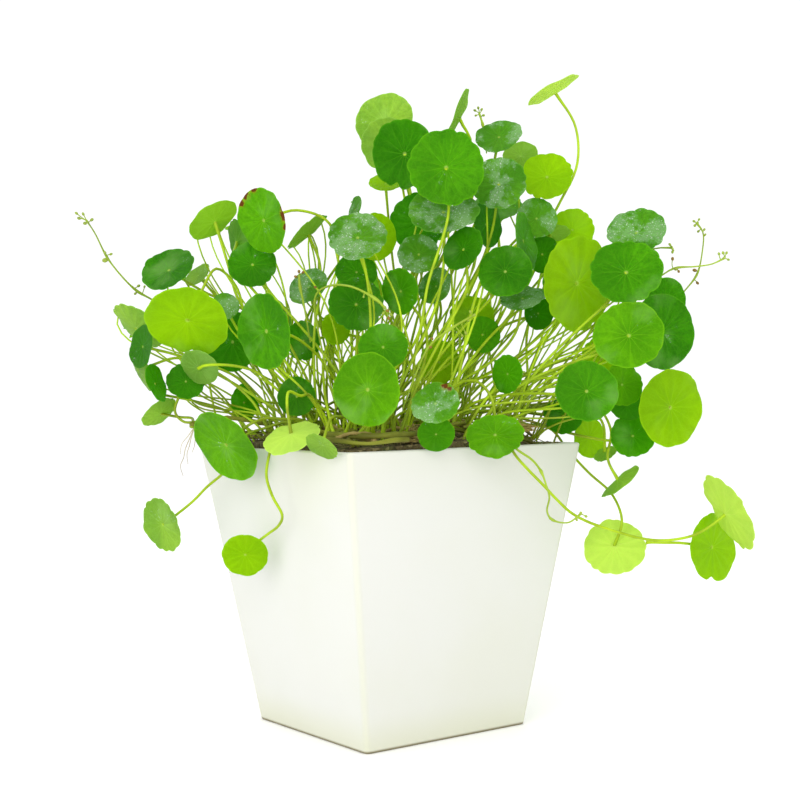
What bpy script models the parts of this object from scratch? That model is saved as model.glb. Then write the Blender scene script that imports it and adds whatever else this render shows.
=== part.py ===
# Potted water pennywort: a square tapered planter, its soil, creeping runners, round shield leaves on long
# stalks and thin flower stalks. Metres, +Z up, origin at the centre of the pot's base, pot sides along X and Y.
import math

import bmesh
import bpy
import numpy as np
from mathutils import Vector

MM = 0.001

# Pot
POT_TOP = 0.1625
POT_BASE = 0.1125
POT_HEIGHT = 0.164
POT_WALL = 0.0045
POT_FLOOR = 0.006
POT_CORNER = 0.003
POT_RIM_ROUND = 0.0016
POT_FOOT_ROUND = 0.0020
GAP = 0.0003

# Soil: a dome that is highest in the middle
SOIL_PEAK = 0.171
SOIL_FALL = 0.0065
SOIL_HALF = POT_TOP / 2 - POT_WALL - 3 * GAP
SOIL_CORNER = 0.003
# Each ring of the soil's top as a share of the ring outside it
SOIL_RINGS = (0.70, 0.50)

# The plane that leaf places are read on: upright, through the pot's axis, turned to face a corner of the pot.
# A viewer stands in front of it, and a leaf nearer to the viewer is moved along its line of sight.
VIEW_TURN = math.radians(-36.0)
EYE_RIGHT = 0.0085
EYE_AHEAD = 0.848
EYE_UP = 0.1944
RIGHT = np.array([math.cos(VIEW_TURN), math.sin(VIEW_TURN), 0.0])
AHEAD = np.array([math.sin(VIEW_TURN), -math.cos(VIEW_TURN), 0.0])
UP = np.array([0.0, 0.0, 1.0])

# Leaves
BLADE_THICK = 0.0010
STALK_RADIUS = 0.0009
FOOT_RADIUS = 0.0012
RUNNER_RADIUS = 0.0014
PUSHES = (0.0, 0.004, 0.008, 0.012, 0.017, 0.023, 0.030, 0.038, 0.047)
SMALL_BLADE = 0.013
CROWN_STEP = 0.020
CROWN_CELLS = 7
CROWN_LENGTH = 0.011
# A stalk whose way is known rises straight from the soil for this far
FOOT_RISE = 0.008
BLADE_GAP = 0.0018
STALK_GAP = 0.0032
STALK_TO_BLADE = 0.0022
POT_CLEAR = 0.0013
ARRIVE = 0.004
# A stalk meets its blade from below, and bends by less than a right angle: the cosines of both limits
LEAST_ARRIVAL = 0.35
SHARPEST_BEND = 0.05
# How far a blade may be moved along its line of sight, and by what step (mm)
SETTLE_STEPS = 21
SETTLE_STEP = 2.0
# Blades farther apart than their rims and this are not compared
NEIGHBOUR = 0.006
# Room left around a stalk when it is compared with a blade, and the overlap past which a way is given up
STALK_ROOM = 0.004
HOPELESS = -0.002
# Lengths into which a stalk is cut to be compared, and how many of them belong to its foot and to its tip
STALK_CUTS = 40
FOOT_CUTS = 3
TIP_CUTS = 4
# A crown lies under its leaves, drawn in to this share of their distance and at most this far from the middle
CROWN_SHARE = 0.62
CROWN_REACH = 0.062
OUTWARD_LEAN = 0.35
# Known stalk ways bow by a smaller share of each push, and mostly towards the viewer
KNOWN_BOW = 0.6
SIDE_BOW = 0.3
FLOWER_ROOM = 0.0008
# Sides of a blade's outline, up to each width
BLADE_SIDES = ((0.022, 8), (0.033, 10), (1.0, 12))
STALK_STEPS = 5
SMALL_STALK_STEPS = 4

# Each leaf: right, up, ahead (mm on and in front of the plane), width (mm), slant from facing the viewer
# (degrees, past 90 the underside shows), the side that the slant turns its face to (degrees, 0 right, 90 up),
# how far its rim rises over its middle as a share of its radius, and the points that its stalk passes.
LEAVES = {
    "leaf_pair_left_shoulder": (
        (-127, 269, 20, 34, 52, 120, 0.10, ()),
        (-94, 247, 28, 17, 20, 100, 0.08, ())),
    "leaf_pair_left_large": (
        (-116.5, 239, 55, 50, 39, 255, 0.06,
         ((-108, 256, 46), (-102, 267, 38), (-94, 270, 30), (-87, 258, 25), (-82, 240, 22))),
        (-90, 226, 5, 36, 25, 170, 0.08, ())),
    "leaf_pair_left_raised": (
        (-99.5, 297.5, 20, 32, 122, 125, 0.10, ((-96, 288, 22), (-92, 272, 18), (-87, 252, 14))),
        (-86, 285, 8, 27, 118, 15, 0.12, ())),
    "leaf_pair_left_bright": (
        (-70.5, 297.5, 50, 39, 45, 192, 0.05,
         ((-58, 302, 42), (-45, 303, 36), (-34, 299, 30), (-25, 286, 22), (-22, 262, 14))),
        (-77.5, 271.5, 35, 29, 20, 90, 0.08, ())),
    "leaf_pair_left_front": (
        (-70, 232, 75, 46, 48, 185, 0.08, ()),
        (-44.5, 257.5, 25, 26, 48, 125, 0.10, ())),
    "leaf_pair_left_outer": (
        (-147, 235, 12, 36, 65, 228, -0.14,
         ((-141, 238, 0), (-133, 233, -4), (-125, 224, -2), (-112, 214, 6), (-92, 203, 8))),
        (-143, 224, 33, 27, 62, 170, 0.08, ())),
    "leaf_pair_left_edge": (
        (-146, 210, 22, 30, 77, 204, -0.16,
         ((-141, 212.5, 20), (-133, 214.5, 18), (-124.7, 217, 16), (-108, 212, 12), (-90, 203, 8))),
        (-136.5, 202, 36, 24, 65, 20, 0.12, ())),
    "leaf_pair_left_knot": (
        (-118, 203, 30, 23, 20, 100, 0.08, ((-124.5, 189, 27), (-123.5, 182.5, 27), (-119, 179, 26))),
        (-133.5, 184.5, 20, 23.5, 120, 125, 0.10, ((-124, 182.5, 24),))),
    "leaf_pair_left_under": (
        (-110, 211, 42, 24, 140, 50, 0.08,
         ((-108, 211.5, 52), (-100, 213.2, 50), (-88, 211.5, 44), (-76, 208, 40), (-67, 203, 36), (-62, 194, 34))),
        (-84, 190, -5, 22, 40, 0, 0.08, ())),
    "leaf_pair_left_corner": (
        (-95, 165, 48, 47, 53, 218, 0.06, ((-83, 175.5, 54), (-75, 180, 52), (-66, 180, 48))),
        (-133, 118.5, 8, 33.5, 53, 200, 0.06,
         ((-124, 125, 10), (-115, 132, 12), (-107, 140, 15), (-98, 147, 18), (-90, 158, 22), (-84, 170, 24)))),
    "leaf_pair_front_left_hanging": (
        (-84.5, 100, 48, 27.5, 27, 250, 0.08,
         ((-77, 107.5, 44), (-66, 116, 49), (-60.5, 121.5, 54), (-63.5, 130, 55), (-68, 140, 55), (-69.5, 149, 56),
          (-68, 159, 58), (-65, 169, 56))),
        (-56, 170.5, 92, 36, 117, 290, 0.10,
         ((-57.3, 180, 88), (-58.5, 190, 84), (-57.5, 196, 80), (-51.5, 193, 74), (-46, 195, 66)))),
    "leaf_pair_front_left_rim": (
        (-37.5, 164, 104, 22, 60, 235, 0.12, ((-36, 172, 100), (-33, 179, 95), (-29, 182, 88), (-24, 180, 78))),
        (-52.5, 193, 42, 24, 20, 170, 0.06, ())),
    "leaf_pair_middle_glossy": (
        (-15, 286.5, 70, 36, 40, 95, 0.08, ((-10, 270, 60), (-9.5, 255, 59), (-9.3, 238, 56), (-9, 215, 50))),
        (-16, 303, 10, 17, 70, 160, 0.10, ())),
    "leaf_pair_middle_left": (
        (-16.5, 247, 45, 33, 15, 100, 0.06, ()),
        (-16, 266, 28, 25, 30, 90, 0.10, ())),
    "leaf_pair_middle_right": (
        (10, 254.5, 48, 27.5, 38, 190, 0.08, ()),
        (21, 276, 30, 25, 20, 90, 0.08, ())),
    "leaf_pair_middle_low": (
        (-1, 221.5, 85, 29.5, 20, 90, 0.06, ()),
        (-29, 233, 25, 20, 30, 0, 0.08, ())),
    "leaf_pair_front_large": (
        (-10.5, 196.5, 100, 44, 25, 170, 0.05, ()),
        (-48, 226, 18, 24, 30, 180, 0.08, ())),
    "leaf_pair_top_left": (
        (2.5, 354, -22, 36, 30, 120, 0.14, ()),
        (4, 341, -7, 33, 20, 180, 0.10, ())),
    "leaf_pair_top_middle": (
        (13.5, 335.5, 20, 42, 25, 180, 0.08, ()),
        (2, 318, -5, 20, 60, 90, 0.10, ())),
    "leaf_pair_top_front": (
        (38, 327, 50, 46, 12, 90, 0.05,
         ((39.3, 306, 40), (38, 296, 50), (35.5, 286, 60), (30, 271, 62), (22.5, 246, 62), (15, 218, 58))),
        (46, 356, 10, 36, 97, 155, 0.10, ((50, 354, 8), (58, 348, 0)))),
    "leaf_pair_middle_dark": (
        (21, 295, -5, 35, 20, 180, 0.08, ()),
        (-16, 286, -72, 30, 140, 95, 0.10, ())),
    "leaf_pair_middle_dusty": (
        (36, 301, 40, 42, 50, 90, 0.06, ()),
        (47.5, 278.5, 48, 28, 42, 140, 0.10, ())),
    "leaf_pair_upper_right": (
        (69.5, 344.5, 10, 28, 50, 100, 0.10, ((72, 333, 6),)),
        (69, 317, 28, 33, 22, 90, 0.08, ())),
    "leaf_pair_upper_outer": (
        (82, 333, -24, 21, 40, 90, 0.10, ()),
        (97.5, 320.5, 5, 32, 33, 90, 0.10, ())),
    "leaf_pair_highest": (
        (103, 370.5, -10, 35, 100, 118, 0.12,
         ((105.5, 366, -12), (113, 355, -12), (117, 341, -10), (115.5, 327, -8), (109, 311, -6),
          (98, 297, -6), (86, 272, -8))),
        (112, 289, -18, 27, 25, 90, 0.08, ())),
    "leaf_pair_right_upright": (
        (91, 296, 12, 25, 20, 90, 0.08, ()),
        (83, 283, 35, 36, 72, 10, 0.08, ())),
    "leaf_pair_right_largest": (
        (114.5, 257.5, 25, 57, 44, 0, 0.05, ()),
        (94, 275, 2, 22, 25, 0, 0.08, ())),
    "leaf_pair_right_wet": (
        (143.5, 263.5, 50, 43, 28, 90, 0.08, ()),
        (166, 246, 0, 28, 30, 0, 0.08, ())),
    "leaf_pair_right_shoulder": (
        (150, 287, 15, 35, 40, 95, 0.08, ()),
        (99, 287, -8, 24, 115, 90, 0.08, ())),
    "leaf_pair_right_front": (
        (144.5, 226, 70, 42.5, 22, 90, 0.06, ()),
        (140, 197, 42, 26, 25, 0, 0.08, ())),
    "leaf_pair_right_dark": (
        (164, 228, 22, 46, 38, 0, 0.06, ()),
        (128, 213, -14, 26, 20, 0, 0.08, ())),
    "leaf_pair_right_lime": (
        (168.5, 183, 42, 47, 40, 355, 0.05, ()),
        (146, 166.5, 18, 27, 20, 100, 0.08, ())),
    "leaf_pair_right_round": (
        (119, 193.5, 75, 37.5, 15, 90, 0.06, ()),
        (143, 185, 28, 20, 20, 270, 0.08, ())),
    "leaf_pair_right_corner": (
        (105, 179, 5, 23, 15, 90, 0.06, ()),
        (120, 166, -18, 24, 40, 0, 0.06, ((118, 176, -26), (108, 184, -28)))),
    "leaf_pair_right_small": (
        (129.5, 157, -4, 15, 120, 295, 0.10, ((129, 166, -4), (127, 177, -9), (115, 186, -13))),
        (137, 140.5, 10, 28, 103, 310, 0.12,
         ((134, 143, 13), (131, 150, 12), (131.5, 161, 10), (133, 172, 6), (127, 182, 0), (113, 188, -4)))),
    "leaf_pair_right_low": (
        (134, 101.5, 5, 37, 153, 280, 0.08,
         ((135, 107, 12), (139, 117, 10), (137, 127, 4), (129, 137, -2), (117, 148, -8), (106, 161, -14),
          (96, 172, -16))),
        (91, 240, 8, 20, 30, 0, 0.08, ())),
    "leaf_pair_right_inner": (
        (72, 265, 55, 33, 25, 100, 0.06, ()),
        (82, 249, 34, 28, 60, 95, 0.08, ())),
    "leaf_pair_right_behind": (
        (61, 293, 15, 28, 55, 10, 0.08, ()),
        (68, 303, -2, 30, 60, 90, 0.08, ())),
    "leaf_pair_middle_grey": (
        (31, 257, 20, 23, 40, 150, 0.10, ()),
        (52, 238, 0, 27, 20, 90, 0.08, ())),
    "leaf_pair_thicket": (
        (72.5, 204.5, 60, 23, 38, 180, 0.06, ()),
        (32, 212, 8, 26, 20, 0, 0.08, ())),
    "leaf_pair_front_spotted": (
        (29.5, 187.5, 104, 29, 32, 105, 0.08, ()),
        (29.5, 169.5, 92, 22, 20, 270, 0.06, ())),
    "leaf_pair_front_rim": (
        (64.5, 168.5, 84, 34.5, 40, 272, 0.06,
         ((64.5, 181, 78), (63, 189, 76), (60, 196, 74), (54, 200.3, 71), (47, 200.8, 66), (40.5, 196, 60))),
        (58, 228, 20, 22, 20, 0, 0.08, ())),
    "leaf_pair_middle_pale": (
        (-44.5, 289, 10, 30, 103, 132, 0.12,
         ((-41, 286, 10), (-38, 273, 20), (-38, 257, 32), (-42, 236, 46), (-43.5, 212, 56), (-43, 194, 58),
          (-42, 179, 56))),
        (-5, 287, 25, 29, 30, 0, 0.06, ())),
    "leaf_pair_back_left": (
        (-109.5, 265.5, -12, 18, 62, 130, 0.10, ()),
        (-70, 236, -85, 34, 150, 60, 0.06, ())),
    "leaf_pair_back_middle": (
        (-15, 252, -115, 32, 155, 90, 0.08, ()),
        (27, 297, -105, 34, 150, 90, 0.06, ())),
    "leaf_pair_back_top": (
        (12, 336, -60, 34, 135, 90, 0.08, ()),
        (38, 328, -95, 38, 145, 80, 0.06, ())),
    "leaf_pair_back_right": (
        (72, 264, -100, 32, 150, 90, 0.08, ()),
        (114, 258, -70, 40, 150, 110, 0.06, ())),
    "leaf_pair_back_low": (
        (145, 226, -60, 34, 140, 80, 0.08, ()),
        (118, 194, -75, 32, 135, 90, 0.06, ())),
    "leaf_pair_back_hanging": (
        (24, 122, -134, 32, 150, 270, 0.08,
         ((24, 140, -136), (22, 160, -134), (20, 174, -122), (14, 178, -100))),
        (-12, 200, -112, 36, 130, 90, 0.06, ())),
}
# Leaves that hang from the long runner stalk, right of the pot: the foot of each stalk comes last.
LONE_LEAVES = {
    "leaf_right_hanging": (
        (201, 120, 45, 51, 110, 30, 0.06,
         ((195.5, 117, 44), (189, 111, 42), (180, 107.5, 40), (166, 105.3, 38), (152, 106.3, 38), (140, 109.5, 39),
          (128, 113.5, 40), (116, 118, 42), (107, 123, 44), (99, 130.5, 47), (90, 140.5, 51), (82, 149, 55),
          (75, 157.5, 59), (68, 169, 62))),),
    "leaf_right_low_hanging": (
        (192, 100, 24, 41.5, 52, 0, 0.06,
         ((180, 102, 28), (171, 103, 32), (162, 103.2, 35), (153, 103.6, 36))),),
}
LEFT_KNOT = (-113.5, 177.6, 25)

# Creeping stems and flower stalks: points (right, up, ahead in mm), and the radius at each end.
RUNNERS = {
    "runner_front": (((-35, 170.5, 74), (-24, 169.5, 86), (-10, 169, 94), (4, 169.5, 92), (16, 170, 84),
                      (28, 171.5, 74)), 1.9, 1.5),
    "runner_left": (((-70, 177, 16), (-84, 180, 18), (-96, 181, 20), (-108, 178.5, 24)), 1.5, 1.3),
}
FLOWER_STALKS = {
    "flower_stalk_left": (
        ((-175, 299, 20), (-170, 291, 20), (-163.5, 277.5, 20), (-155, 266, 20), (-146, 257, 20),
         (-136, 251, 20), (-118, 238, 16), (-92, 212, 6), (-66, 184, -2)), (0, 2, 4)),
    "flower_stalk_right_tall": (
        ((185.5, 292, -8), (189.3, 286, -8), (188.8, 276, -8), (185.5, 262, -8), (177, 251, -10),
         (160, 232, -14), (132, 208, -14), (104, 188, -14)), (0, 3)),
    "flower_stalk_right_flat": (
        ((202, 271, 20), (194, 267.5, 20), (184, 266.2, 20), (172.5, 265.5, 20), (164, 261, 18),
         (148, 250, 4), (120, 226, -4), (92, 192, -8)), (0, 3)),
    "flower_stalk_right_small": (
        ((171, 277.5, 2), (160, 277, -4), (144, 270, -18), (120, 240, -24), (96, 205, -22), (78, 184, -18)), (0,)),
    "flower_stalk_front": (
        ((114.5, 121, 50), (107, 116, 50), (98, 117.5, 53), (94.5, 123, 56), (96, 131, 56), (94, 139, 57),
         (91.3, 146.5, 59), (86, 153.5, 60), (77, 160, 64), (66, 171, 66)), (0, 2, 6)),
}
FLOWER_SHIFTS = (0, 5, -5, 10, -10, 16, -16, 24, -24, 34, -34)
FLOWER_RADIUS = 0.0007
BUD_RADIUS = 0.0021

COLOURS = {
    "pot": (0.88, 0.88, 0.84), "soil": (0.10, 0.075, 0.045), "leaf": (0.16, 0.38, 0.03),
    "runner": (0.25, 0.27, 0.08), "flower": (0.42, 0.52, 0.12),
}
ROUGHNESS = {"pot": 0.55, "soil": 0.95, "leaf": 0.40, "runner": 0.60, "flower": 0.55}


def place(right, up, ahead):
    """World point of a place read on the plane, in mm, moved towards the viewer by ahead."""
    share = ahead * MM / EYE_AHEAD
    side = right * MM + (EYE_RIGHT - right * MM) * share
    height = up * MM + (EYE_UP - up * MM) * share
    return RIGHT * side + AHEAD * (ahead * MM) + UP * height


def unit(vector):
    return vector / np.linalg.norm(vector)


def pot_half(height):
    return (POT_BASE + (POT_TOP - POT_BASE) * height / POT_HEIGHT) / 2


def soil_height(x, y):
    return SOIL_PEAK - SOIL_FALL * (x * x + y * y) / (2 * SOIL_HALF * SOIL_HALF)


class Blade:
    """One leaf blade: a round dish on its own axes, with the gap from any point to it."""

    def __init__(self, row, number):
        self.row = row
        self.number = number
        self.via = [place(*point) for point in row[7]]
        self.set_ahead(row[2])

    def set_ahead(self, ahead):
        right, up, _, width, slant, lean, cup, _ = self.row
        self.ahead = ahead
        self.centre = place(right, up, ahead)
        eye = RIGHT * EYE_RIGHT + AHEAD * EYE_AHEAD + UP * EYE_UP
        sight = unit(eye - self.centre)
        side = unit(np.cross(UP, sight))
        rise = np.cross(sight, side)
        slant, lean = math.radians(slant), math.radians(lean)
        tilt = math.cos(lean) * side + math.sin(lean) * rise
        self.normal = math.cos(slant) * sight + math.sin(slant) * tilt
        self.axis_u = unit(math.cos(slant) * tilt - math.sin(slant) * sight)
        self.axis_v = np.cross(self.normal, self.axis_u)
        self.radius = width / 2 * MM * (EYE_AHEAD - ahead * MM) / EYE_AHEAD
        self.cup = cup
        self.phase = 2.4 * self.number
        self.wave = 0.035 + 0.015 * math.sin(1.7 * self.number)

    def height(self, share, angle):
        return self.radius * share * share * (self.cup + self.wave * np.cos(2 * angle + self.phase))

    def point(self, share, angle, lift=0.0):
        reach = self.radius * share
        return (self.centre + self.axis_u * reach * math.cos(angle) + self.axis_v * reach * math.sin(angle)
                + self.normal * (self.height(share, angle) + lift))

    def samples(self):
        points = [self.centre]
        for share, count in ((0.5, 8), (0.8, 12), (1.0, 18)):
            points += [self.point(share, 2 * math.pi * k / count) for k in range(count)]
        return np.array(points)

    def gap(self, points):
        local = points - self.centre
        u, v, h = local @ self.axis_u, local @ self.axis_v, local @ self.normal
        reach = np.hypot(u, v)
        share = np.minimum(reach / self.radius, 1.0)
        rise = h - self.height(share, np.arctan2(v, u))
        return np.hypot(rise, np.maximum(reach - self.radius, 0.0))


def pot_gap(points):
    """Clearance from the pot's walls and the soil, negative inside them."""
    x, y, z = np.abs(points[:, 0]), np.abs(points[:, 1]), points[:, 2]
    half = (POT_BASE + (POT_TOP - POT_BASE) * np.clip(z, 0, POT_HEIGHT) / POT_HEIGHT) / 2
    beside = np.maximum(x, y) - half
    above_rim = z - POT_HEIGHT
    outside = np.maximum(beside, above_rim)
    over_soil = z - (SOIL_PEAK - SOIL_FALL * (x * x + y * y) / (2 * SOIL_HALF ** 2))
    over_soil = np.where(beside < 0, over_soil, 1.0)
    return np.minimum(outside, over_soil)


def settle_blades(blades):
    """Move each blade along its line of sight until it clears the pot and the blades before it."""
    steps = [0.0]
    for k in range(1, SETTLE_STEPS + 1):
        steps += [SETTLE_STEP * k, -SETTLE_STEP * k]
    done = []
    for blade in blades:
        best = None
        first = blade.row[2]
        for step in steps:
            blade.set_ahead(first + step)
            points = blade.samples()
            gap = pot_gap(points).min() - BLADE_GAP * 0.6
            for other in done:
                if np.linalg.norm(other.centre - blade.centre) > other.radius + blade.radius + NEIGHBOUR:
                    continue
                gap = min(gap, other.gap(points).min() - BLADE_GAP, blade.gap(other.samples()).min() - BLADE_GAP)
                if best and gap <= best[0]:
                    break
            if best is None or gap > best[0]:
                best = (gap, first + step)
            if gap >= 0:
                break
        blade.set_ahead(best[1])
        done.append(blade)


def smooth_path(points, count):
    """Points along a smooth curve through the given ones, evenly spaced."""
    points = [np.array(p) for p in points]
    ends = [2 * points[0] - points[1]] + points + [2 * points[-1] - points[-2]]
    fine = []
    for a, b, c, d in zip(ends, ends[1:], ends[2:], ends[3:]):
        for k in range(12):
            t = k / 12
            fine.append(0.5 * (2 * b + (c - a) * t + (2 * a - 5 * b + 4 * c - d) * t * t
                               + (3 * b - a - 3 * c + d) * t ** 3))
    fine.append(points[-1])
    fine = np.array(fine)
    run = np.concatenate([[0], np.cumsum(np.linalg.norm(np.diff(fine, axis=0), axis=1))])
    places = np.linspace(0, run[-1], count)
    return np.stack([np.interp(places, run, fine[:, k]) for k in range(3)], axis=1)


def arch(start, lean, end, arrive, bow):
    """A stalk from the soil to a blade: it leaves along lean, arrives along arrive, and bows sideways."""
    span = np.linalg.norm(end - start)
    reach = min(0.30 * span, 0.035)
    b = start + lean * 0.40 * span
    c = end - arrive * reach
    t = np.linspace(0, 1, 17)[:, None]
    curve = (1 - t) ** 3 * start + 3 * (1 - t) ** 2 * t * b + 3 * (1 - t) * t * t * c + t ** 3 * end
    return curve + np.sin(math.pi * t) ** 2 * bow


def resample(points, count):
    run = np.concatenate([[0], np.cumsum(np.linalg.norm(np.diff(points, axis=0), axis=1))])
    places = np.linspace(0, run[-1], count)
    return np.stack([np.interp(places, run, points[:, k]) for k in range(3)], axis=1)


def segment_gap(points, starts, ends):
    """Smallest distance from any of the points to any of the segments."""
    if len(starts) == 0:
        return 1.0
    way = ends - starts
    length = np.maximum((way * way).sum(1), 1e-12)
    off = points[:, None, :] - starts[None, :, :]
    t = np.clip((off * way[None]).sum(2) / length[None], 0, 1)
    near = starts[None] + way[None] * t[:, :, None]
    return np.linalg.norm(points[:, None, :] - near, axis=2).min()


class Thicket:
    """The stalks laid so far, as segments that the next stalk keeps clear of."""

    def __init__(self, blades):
        self.blades = blades
        self.starts = np.zeros((0, 3))
        self.ends = np.zeros((0, 3))

    def add(self, path):
        self.starts = np.vstack([self.starts, path[:-1]])
        self.ends = np.vstack([self.ends, path[1:]])

    def gap(self, path, own=None):
        """How far the path clears the stalks, the pot and all blades, less the gaps that are kept."""
        fine = resample(path, STALK_CUTS)
        stalks = segment_gap(fine[1:-1], self.starts, self.ends) - STALK_GAP
        if stalks < HOPELESS:
            return stalks
        low, high = fine.min(0) - STALK_ROOM, fine.max(0) + STALK_ROOM
        worst = min(stalks, pot_gap(fine[FOOT_CUTS:]).min() - POT_CLEAR)
        for blade in self.blades:
            if blade is own:
                continue
            if np.any(blade.centre + blade.radius < low) or np.any(blade.centre - blade.radius > high):
                continue
            worst = min(worst, blade.gap(fine).min() - STALK_TO_BLADE)
        if own:
            ways = np.diff(path, axis=0)
            ways /= np.linalg.norm(ways, axis=1)[:, None]
            from_below = ways[-1] @ own.normal - LEAST_ARRIVAL
            open_bends = (ways[1:] * ways[:-1]).sum(1).min() - SHARPEST_BEND
            worst = min(worst, own.gap(fine[:-TIP_CUTS]).min() - STALK_RADIUS,
                        from_below * ARRIVE, open_bends * ARRIVE)
        return worst


def choose_crowns(pairs):
    """A free place on the soil for each pair of leaves, the outermost pairs first."""
    cells = [(i - (CROWN_CELLS - 1) / 2, j - (CROWN_CELLS - 1) / 2)
             for i in range(CROWN_CELLS) for j in range(CROWN_CELLS)]
    cells = [np.array(cell) * CROWN_STEP for cell in cells]
    wanted = []
    for name, blades in pairs.items():
        mean = np.mean([0.5 * blade.centre[:2] + 0.5 * (blade.via[-1] if blade.via else blade.centre)[:2]
                        for blade in blades], axis=0)
        wanted.append((np.linalg.norm(mean), name, mean))
    crowns = {}
    for far, name, mean in sorted(wanted, key=lambda item: -item[0]):
        goal = mean * min(CROWN_SHARE, CROWN_REACH / max(far, 1e-6))
        cells.sort(key=lambda cell: float(np.linalg.norm(cell - goal)))
        crowns[name] = cells.pop(0)
    return crowns


def lay_stalk(blade, foot, thicket):
    """The stalk's points from foot to blade: the first of many bows that keeps clear, or the clearest."""
    end = blade.centre - blade.normal * BLADE_THICK / 2
    outward = blade.centre * np.array([1, 1, 0])
    outward = outward / max(np.linalg.norm(outward), 0.02)
    across = unit(np.cross(UP, unit(end - foot)) + RIGHT * 1e-4)
    over = np.cross(unit(end - foot), across)
    best = None
    steps = STALK_STEPS if blade.radius > SMALL_BLADE else SMALL_STALK_STEPS
    rise = [foot + UP * FOOT_RISE] if np.abs(foot[:2]).max() < SOIL_HALF else []
    if blade.via:
        steps = len(blade.via) + 2 + len(rise)
    for push in PUSHES:
        for turn in range(1 if push == 0 else 8):
            angle = 2 * math.pi * turn / 8
            if blade.via:
                bow = (AHEAD * math.cos(angle) + RIGHT * SIDE_BOW * math.sin(angle)) * push * KNOWN_BOW
                points = [end, end - blade.normal * ARRIVE] + blade.via + rise + [foot]
                curve = smooth_path(points, 60)[::-1]
                share = np.linspace(0, 1, len(curve))[:, None]
                curve = curve + bow * np.sin(math.pi * share) ** 2
            else:
                lean = unit(UP + outward * OUTWARD_LEAN)
                bow = (across * math.cos(angle) + over * math.sin(angle)) * push
                curve = arch(foot, lean, end, blade.normal, bow)
            path = resample(curve, steps + 1)
            gap = thicket.gap(path, blade)
            if best is None or gap > best[0]:
                best = (gap, path)
            if gap >= 0:
                return path
    return best[1]


def lay_flower_stalk(points, thicket):
    """A flower stalk's places, moved only along the line of sight until it keeps clear."""
    best = None
    share = np.linspace(0, 1, len(points))
    for shift in FLOWER_SHIFTS:
        for bend in FLOWER_SHIFTS:
            moved = [(right, up, ahead + shift * (1 - s) + bend * math.sin(math.pi * s))
                     for (right, up, ahead), s in zip(points, share)]
            spots = [place(*spot) for spot in moved]
            gap = thicket.gap(np.array(spots[::-1])) - FLOWER_ROOM
            if best is None or gap > best[0]:
                best = (gap, spots)
            if gap >= 0:
                return spots
    return best[1]


def plan_plant():
    """Blades, crowns and stalk routes of every leaf, all clear of each other."""
    pairs = {}
    number = 0
    for name, rows in list(LONE_LEAVES.items()) + list(LEAVES.items()):
        pairs[name] = []
        for row in rows:
            pairs[name].append(Blade(row, number))
            number += 1
    blades = [blade for group in pairs.values() for blade in group]
    settle_blades(blades)
    thicket = Thicket(blades)
    for points, _, _ in RUNNERS.values():
        thicket.add(smooth_path([place(*point) for point in points], 2 * len(points)))
    crowns = choose_crowns({name: group for name, group in pairs.items()
                            if name not in LONE_LEAVES and name != "leaf_pair_left_knot"})
    feet = {}
    for name, group in pairs.items():
        if name in LONE_LEAVES:
            low = group[0].via[-1]
            if name == "leaf_right_hanging":
                flat = low * np.array([0.8, 0.8, 0])
                low = flat + UP * (soil_height(*flat[:2]) + FOOT_RADIUS + GAP * 3)
            feet[name] = [low]
            continue
        if name == "leaf_pair_left_knot":
            knot = place(*LEFT_KNOT)
            feet[name] = [knot + UP * 0.001 + RIGHT * 0.0015, knot - UP * 0.001 - RIGHT * 0.0015]
            continue
        way = (group[1].via[-1] if group[1].via else group[1].centre) - \
            (group[0].via[-1] if group[0].via else group[0].centre)
        way = way * np.array([1, 1, 0])
        way = unit(way) if np.linalg.norm(way) > 1e-4 else RIGHT
        ends = []
        for sign in (-0.5, 0.5):
            spot = crowns[name] + way[:2] * sign * CROWN_LENGTH
            ends.append(np.array([spot[0], spot[1], 0.0]))
        level = max(soil_height(*spot[:2]) for spot in ends + [np.array([*crowns[name], 0.0])])
        feet[name] = [spot + UP * (level + RUNNER_RADIUS + 2 * GAP) for spot in ends]
        thicket.add(np.array(feet[name]))
    order = sorted(pairs, key=lambda name: -max(len(blade.via) for blade in pairs[name]))
    routes = {name: [None] * len(pairs[name]) for name in pairs}
    flowers = {}
    for turn in (True, False):
        for name, (points, _) in FLOWER_STALKS.items():
            if not turn:
                flowers[name] = lay_flower_stalk(points, thicket)
                thicket.add(np.array(flowers[name]))
        for name in order:
            for k, blade in enumerate(pairs[name]):
                if bool(blade.via) != turn:
                    continue
                if name == "leaf_right_low_hanging":
                    blade.via = blade.via[:-1]
                foot = feet[name][k]
                saved = thicket.starts, thicket.ends
                near = np.minimum(np.linalg.norm(thicket.starts - foot, axis=1),
                                  np.linalg.norm(thicket.ends - foot, axis=1)) > 1e-6
                thicket.starts, thicket.ends = thicket.starts[near], thicket.ends[near]
                path = lay_stalk(blade, foot, thicket)
                thicket.starts, thicket.ends = saved
                thicket.add(path)
                routes[name][k] = path
    return pairs, feet, routes, flowers


def ring(bm, centre, along, radius, sides, start):
    """A loop of points around the path, turned so that it follows the loop before it."""
    along = Vector(along).normalized()
    first = Vector(start) - along * along.dot(Vector(start))
    first.normalize()
    second = along.cross(first)
    loop = []
    for k in range(sides):
        angle = 2 * math.pi * k / sides
        loop.append(bm.verts.new(Vector(centre) + (first * math.cos(angle) + second * math.sin(angle)) * radius))
    return loop, first


def close_loop(bm, loop):
    return [bm.edges.get((a, b)) or bm.edges.new((a, b)) for a, b in zip(loop, loop[1:] + loop[:1])]


def bridge(bm, before, after):
    bmesh.ops.bridge_loops(bm, edges=close_loop(bm, before) + close_loop(bm, after))


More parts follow.
